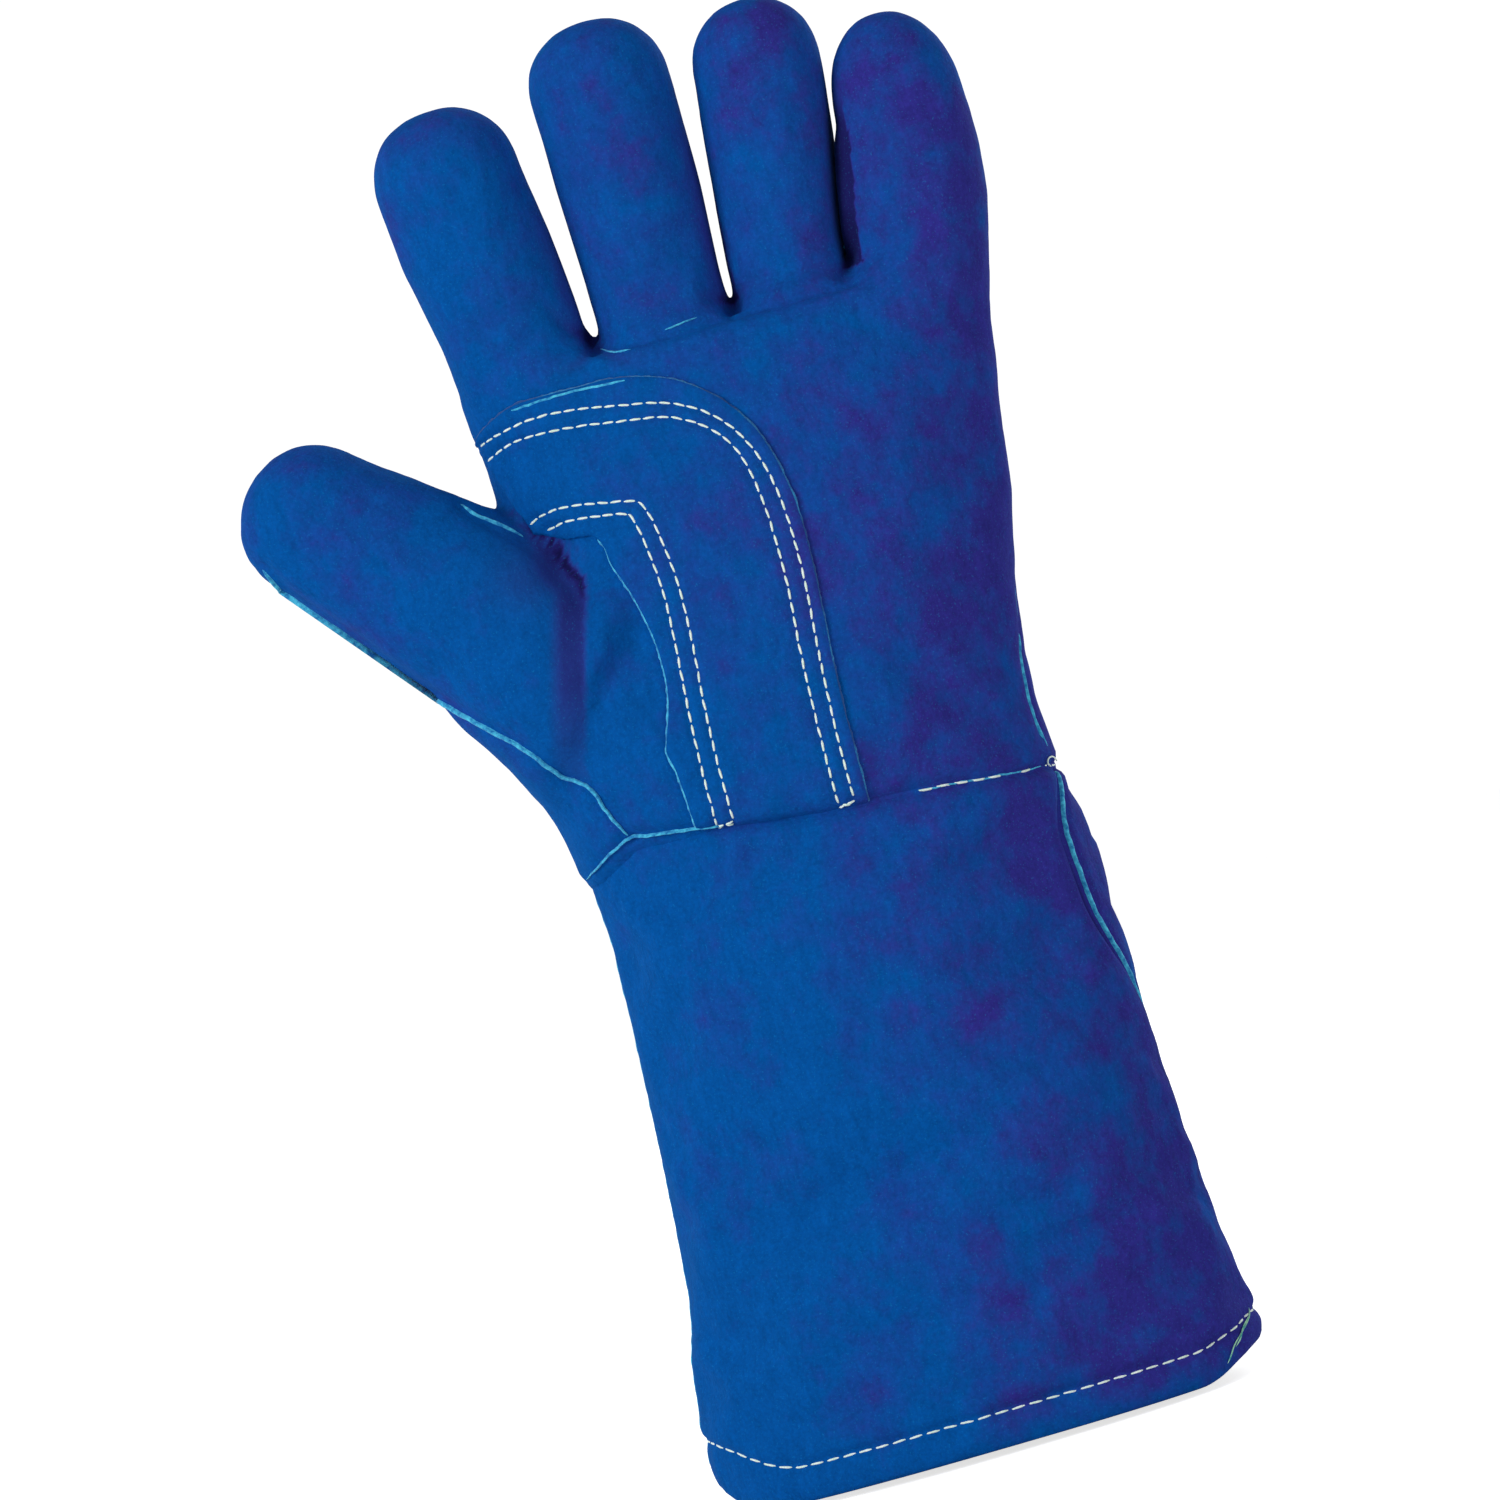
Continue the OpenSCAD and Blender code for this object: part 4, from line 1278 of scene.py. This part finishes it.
def main():
    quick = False
    MATERIAL["suede"] = suede("blue_suede", srgb(2, 81, 158), srgb(20, 69, 152), srgb(46, 44, 134), srgb(24, 140, 205))
    MATERIAL["raw"] = fibre("raw_edge", srgb(52, 150, 208), srgb(10, 88, 160), 1500, 0.95, 0.0004, sheen=0.15,
                            worn=srgb(20, 66, 140))
    MATERIAL["cut"] = fibre("cut_edge", srgb(84, 208, 240), srgb(10, 104, 178), 640, 0.95, 0.0004, sheen=0.15)
    MATERIAL["fleece"] = fibre("fleece", srgb(226, 219, 200), srgb(176, 168, 148), 500, 0.98, 0.0009, sheen=0.4)
    MATERIAL["thread"] = fibre("thread", srgb(250, 255, 253), srgb(215, 246, 222), 1500, 0.7, 0.0002)
    MATERIAL["thread_end"] = fibre("thread_end", srgb(190, 240, 190), srgb(30, 150, 150), 420, 0.7, 0.0002)

    # ---- hand
    v, q = build_hand()
    if not quick:
        seam = np.abs(v[:, 1] - side_seam_y(v))
        held = np.maximum(1 - smooth(seam, 2, 6), 1 - smooth(v[:, 2], 152, 160))
        blown = (puff(v, q, held, 3.0) - v) * np.array([0.08, 0.8, 0.12])
        v = v + blown * (1 - 0.9 * beside_gap(v))[:, None]
    lining_v, lining_q = v.copy(), q
    v, q = subdivided(v, q)
    e, deg = neighbours(q, len(v))
    n = normals(v, q)

    def creases(v, n):
        deep = ((0, 0.1, 0.3, 0.6, 0.85, 1), (0.5, 1, 1, 0.7, 0.35, 0.1))
        inward = valley(v, n, THUMB_CREASE, 8.0, 3.2, deep, beyond=3.0)
        inward += valley(v, n, THUMB_CREASE, 2.0, 1.1, ((0, 0.06, 0.3, 0.45, 1), (0.6, 1, 0.9, 0.3, 0)), beyond=1.6)
        inward += valley(v, n, FINGER_SEAM, 1.5, 1.9)
        for fold in THUMB_FOLDS:
            inward += valley(v, n, fold, 1.5, 0.5, ((0, 0.4, 1), (0.6, 1, 0)))
        for fold in FOLDS:
            inward += valley(v, n, fold, 1.5, 1.3, ((0, 0.5, 1), (1, 0.8, 0)))
        inward += valley(v, n, THUMB_WELT, 1.8, 1.2)
        return inward + valley(v, n, THUMB_WELT_TOP, 1.5, 1.0)

    push = 0.7 * wander(v, 26, 3) + 0.28 * wander(v, 9, 5) + 0.1 * wander(v, 3.5, 8)
    push = push * np.interp(v[:, 2], (150, 175, 265, 290), (0.4, 1, 1, 0.6)) * (1 - beside_gap(v))
    seam = v[:, 1] - side_seam_y(v)
    edge = (1 - smooth(np.abs(n[:, 1]), 0.35, 0.8)) * (v[:, 2] > 160)
    apart = smooth(thumb_field(v) - np.minimum(palm_field(v), 5), -1, 2)
    u, tv, ts = thumb_place(v)
    seam_t = np.exp(-((tv / 1.5) ** 2)) * edge * smooth(ts, 12, 20) * (1 - apart) * (v[:, 0] < -50)
    groove = 0.8 * np.exp(-((seam / 1.5) ** 2)) * edge * np.where(v[:, 0] < -50, apart, 1) + 0.8 * seam_t
    groove = groove * (1 - beside_gap(v))
    folded = creases(v, n)
    v = v + n * (push - folded - groove)[:, None]
    v = v + 0.25 * (averaged(v, e, deg) - v)
    for _ in range(4):
        v = v + (0.5 * smooth(folded, 2.6, 4.2))[:, None] * (averaged(v, e, deg) - v)
    n = normals(v, q)
    past = wrist_z(v[:, 0], v[:, 1]) - v[:, 2]
    v = tucked(v, n, past)
    q = q[(past[q] < 7.5).any(1)]
    n = normals(v, q)
    skin = bvh(v, q)

    c = v[q].mean(1)
    region = region_of(c)
    is_thumb = np.isin(region, [REGIONS.index("thumb_base"), REGIONS.index("thumb_tip")])
    u, tv, ts = thumb_place(c)
    welt = np.array(THUMB_WELT)
    wu, _, ws = thumb_place(np.stack([welt[:, 0], np.zeros(len(welt)), welt[:, 1]], 1))
    order = np.argsort(ws)
    welt_u = np.interp(ts, ws[order], wu[order])
    thumb_front = (tv < 0) & (u > welt_u)
    palm_front = (c[:, 1] < side_seam_y(c)) & ~((c[:, 2] < 205) & (c[:, 0] < -44) & (u < welt_u))
    front_face = np.where(is_thumb, thumb_front, palm_front)
    both = {"hand": ("palm_leather", "back_leather")}
    for side, mask in enumerate((front_face, ~front_face)):
        label = ("front", "back")[side]
        nodes = {r: (f"{r}_{label}",) for r in REGIONS[1:]}
        nodes["hand"] = (both["hand"][side],)
        split_pieces(label + "_leather", v, q[mask], "suede", normal=n, names=nodes, dark=painted_palm_shade(v, n))

    ln = normals(lining_v, lining_q)
    past = wrist_z(lining_v[:, 0], lining_v[:, 1]) - lining_v[:, 2]
    lv = lining_v - (2.6 + creases(lining_v, ln) + 3.4 * smooth(past, -7, 0) + 1.2 * beside_gap(lining_v))[:, None] * ln
    keep = lining_q[(lining_v[lining_q][:, :, 2] > 151).all(1)][:, ::-1]
    split_pieces("fleece", lv, keep, "fleece", names={r: (f"{r}_lining",) for r in REGIONS})

    # ---- cuff
    cv, cq, cn, cd, rows, first = build_cuff(quick)
    turn = np.where((cq % COLUMNS).max(1) - (cq % COLUMNS).min(1) > COLUMNS / 2, COLUMNS - 1, (cq % COLUMNS).min(1))
    for name, mask in (("cuff_front", turn < COLUMNS // 2), ("cuff_back", turn >= COLUMNS // 2)):
        piece(name + "_leather", cv, cq[mask], "suede", region="hand", replaces=(name,), normal=cn, dark=cd)
    grid, grid_n = cv.reshape(-1, COLUMNS, 3), cn.reshape(-1, COLUMNS, 3)
    strips = []
    for col, s in ((0, 81), (COLUMNS // 2, 83)):
        at, nn = grid[first:, col], grid_n[first:, col]
        keep_rows = at[:, 2] < wrist_z(at[:, 0], at[:, 1]) - 0.5
        at, nn = at[keep_rows], softened(nn[keep_rows].copy())
        d = np.r_[0, np.cumsum(np.linalg.norm(np.diff(at, axis=0), axis=1))]
        m = int(d[-1] / 0.9)
        at = np.stack([np.interp(np.linspace(0, d[-1], m), d, at[:, k]) for k in range(3)], 1)
        nn = softened(np.stack([np.interp(np.linspace(0, d[-1], m), d, nn[:, k]) for k in range(3)], 1))
        strips.append(ribbon(at - nn * 0.3, nn, 0.8, 1.25, s, 0.25))
    wv, wq = joined(strips)
    piece("cuff_side_welts", wv, wq, "cut", region="hand", replaces=("cuff_welts",))
    inner = [(z, 4.4 + 2.6 * float(smooth(np.array(z), 146, 156))) for z in list(np.arange(13.5, 150, 6)) + list(np.arange(150, 163, 2))]
    lin = np.stack([cuff_ring(z, 96, inset) for z, inset in inner])
    piece("cuff_fleece", lin.reshape(-1, 3), grid_quads(len(inner), 96), "fleece", region="hand", replaces=("cuff_lining",))
    row = int(np.argmin(np.abs(rows[first:] - HEM_ROW))) + first
    hem_at = np.vstack([grid[row], grid[row][:1]])
    hem_n = softened(np.vstack([grid_n[row], grid_n[row][:1]]))
    tv_, tf, _ = stitches(hem_at, hem_n, 4.2, 3.9, 91)
    piece("hem_stitches", tv_, tf, "thread", body="cuff", replaces=("hem_stitching",))

    cuff_skin = bvh(cv, cq)
    loose = []
    for i, (path, high) in enumerate(LOOSE):
        at, nn = on_palm(cuff_skin, path, step=0.8)
        w = np.linspace(0, 1, len(at))
        at = at + nn * (0.1 + high * np.sin(math.pi * w * 0.85) + 0.25 * np.sin(9 * w + i))[:, None]
        loose.append(tube(at, nn, 0.17))
    piece("hem_thread_ends", *joined(loose), "thread_end", body="cuff")

    # ---- wrist seam
    ring0 = cuff_ring(157, 240)
    wz = wrist_z(ring0[:, 0], ring0[:, 1])
    ring1 = np.stack([cuff_ring(z, 240, 2.3)[i] for i, z in enumerate(wz)])
    ring1 = np.vstack([ring1, ring1[:6]])
    out = ring1 * [1, 1, 0]
    out = np.stack([out[:, 0] / 58**2, out[:, 1] / 29**2, 0 * out[:, 0]], 1)
    out /= np.linalg.norm(out, axis=1, keepdims=True)
    wv, wq = ribbon(ring1, out, 1.7, 1.1, 95, 0.12)
    piece("wrist_seam_welt", wv, wq, "suede", region="hand", replaces=("wrist_welt",))
    seam_skin = bvh(*joined([(v, q), (cv, cq)]))
    edges = []
    for a, b, half, high, s in ((-58.5, -23, 0.34, 0.7, 97), (24, 57.5, 0.28, 0.5, 98)):
        x = np.linspace(a, b, int((b - a) / 2))
        at, nn = on_palm(seam_skin, tuple(zip(x, wrist_z(x, 0 * x - 20))))
        edges.append(ribbon(level(at) + nn * 0.3, nn, half, high, s, 0.6))
        if a > 0:
            sewn = stitches(level(at) + nn * 0.75, nn, 4.4, 3.6, 99, lift=0.2, skip=(5, 7))[:2]
    piece("wrist_cut_edge", *joined(edges), "cut", region="hand")
    turn = np.linspace(-0.6, 4.4, 12)
    loop = np.stack([57 + 1.1 * np.cos(turn), 153 + 1.5 * np.sin(turn)], 1)
    at, nn = on_palm(seam_skin, tuple(map(tuple, loop)), step=0.3)
    piece("wrist_stitches", *joined([sewn, tube(level(at) + nn * 0.6, nn, 0.2)]), "thread", region="hand")

    # ---- patch
    pv, pq, pn, walls = build_patch(skin)
    piece("palm_patch_leather", pv, pq, "suede", region="hand", replaces=("palm_patch",), normal=pn)
    piece("palm_patch_outer_edge", *walls[0], "raw", region="hand")
    iv, iq = walls[1]
    bend_row = (laid(iv[iq].mean(1))[:, 0] > -33.4).argmax()
    piece("palm_patch_inner_edge", iv, iq[bend_row:], "cut", region="hand")
    piece("palm_patch_thumb_edge", iv, iq[:bend_row], "suede", region="hand")
    patch = bvh(pv, pq)
    at, nn = on_palm(patch, tuple(np.array(p) * [1, 1] - [0, 0.5] for p in PATCH_OUT[1:4]))
    piece("palm_patch_lip", *ribbon(at - nn * 0.05, nn, 0.42, 0.32, 121, 0.5), "cut", region="hand")
    sewn = []
    for i, line in enumerate(ROWS):
        at, nn = on_palm(patch, line)
        a, b, _ = stitches(at, nn, 3.3, 3.15, 101 + i)
        sewn.append((a, b))
    for i, bar in enumerate(BARS):
        at, nn = on_palm(patch, bar, step=0.5)
        a, b, _ = stitches(at, nn, 2.3, 2.2, 111 + i, lift=0.4)
        sewn.append((a, b))
    sv, sf = joined(sewn)
    piece("patch_stitches", sv, sf, "thread", region="hand", replaces=("patch_stitching",))

    # ---- welts of the hand, in the seams
    names = {"hand": ("hand_welts",)}
    for r in REGIONS[1:]:
        names[r] = (r + ("_welts" if r.endswith("base") else "_welt"),)
    wv, wq = joined(welt_strips(skin))
    split_pieces("seam_welts", wv, wq, "raw", names=names)
    wv, wq = joined(bright_strips(skin))
    split_pieces("cut_edges", wv, wq, "cut")
    return cam_and_stage()


def lamp(name, place, aim, size, power, colour=(1, 1, 1)):
    light = bpy.data.lights.new(name, "AREA")
    light.size, light.energy, light.color = size, power, colour
    ob = bpy.data.objects.new(name, light)
    bpy.context.scene.collection.objects.link(ob)
    ob.location = place
    ob.rotation_euler = (Vector(aim) - Vector(place)).to_track_quat("-Z", "Y").to_euler()


def cam_and_stage():
    # the camera looks at the palm, leaning the glove as the photographed one leans
    cam = bpy.data.cameras.new("camera")
    co = bpy.data.objects.new("camera", cam)
    bpy.context.scene.collection.objects.link(co)
    lean = math.radians(16.1)
    cam.lens = 36 * 1.5 / 0.363
    c, s = math.cos(lean), math.sin(lean)
    co.matrix_world = Matrix(((c, s, 0, EYE[0] * MM), (0, 0, -1, EYE[1] * MM), (-s, c, 0, EYE[2] * MM), (0, 0, 0, 1)))
    bpy.context.scene.camera = co

    # a pale floor under the rim, and a white studio around it
    mat, nt, bsdf = node_tree("pale_floor")
    bsdf.inputs["Base Color"].default_value = (0.86, 0.86, 0.86, 1)
    bsdf.inputs["Roughness"].default_value = 0.9
    bsdf.inputs["Emission Color"].default_value = (1, 1, 1, 1)
    seen = nt.nodes.new("ShaderNodeLightPath")
    glow = maths(nt, "MULTIPLY", 0.0, 0.72)
    nt.links.new(seen.outputs["Is Camera Ray"], glow.inputs[0])
    nt.links.new(glow.outputs[0], bsdf.inputs["Emission Strength"])
    r = 3000.0
    floor = new_object("floor", np.array([[-r, -r, -1.0], [r, -r, -1.0], [r, r, -1.0], [-r, r, -1.0]]), [[0, 1, 2, 3]])
    floor.data.materials.append(mat)
    world = bpy.data.worlds.new("studio")
    bpy.context.scene.world = world
    world.use_nodes = True
    wt = world.node_tree
    sky = wt.nodes["Background"]
    sky.inputs[0].default_value = (1, 1, 1, 1)
    path = wt.nodes.new("ShaderNodeLightPath")
    strength = maths(wt, "MULTIPLY", 0.0, 0.76)
    wt.links.new(path.outputs["Is Camera Ray"], strength.inputs[0])
    total = maths(wt, "ADD", strength, 0.30)
    wt.links.new(total.outputs[0], sky.inputs[1])
    centre = (0, 0, 0.18)
    lamp("key", (-1.6, -1.35, 0.95), centre, 1.0, 29)
    lamp("fill", (1.5, -1.3, 0.35), centre, 1.2, 10)
    lamp("back_key", (1.2, 1.5, 1.0), centre, 1.0, 20)
    lamp("back_fill", (-1.4, 1.2, 0.3), centre, 1.2, 7)
    bpy.context.scene.view_settings.view_transform = "Standard"


import time

t0 = time.time()
main()
print("built in", round(time.time() - t0, 1))
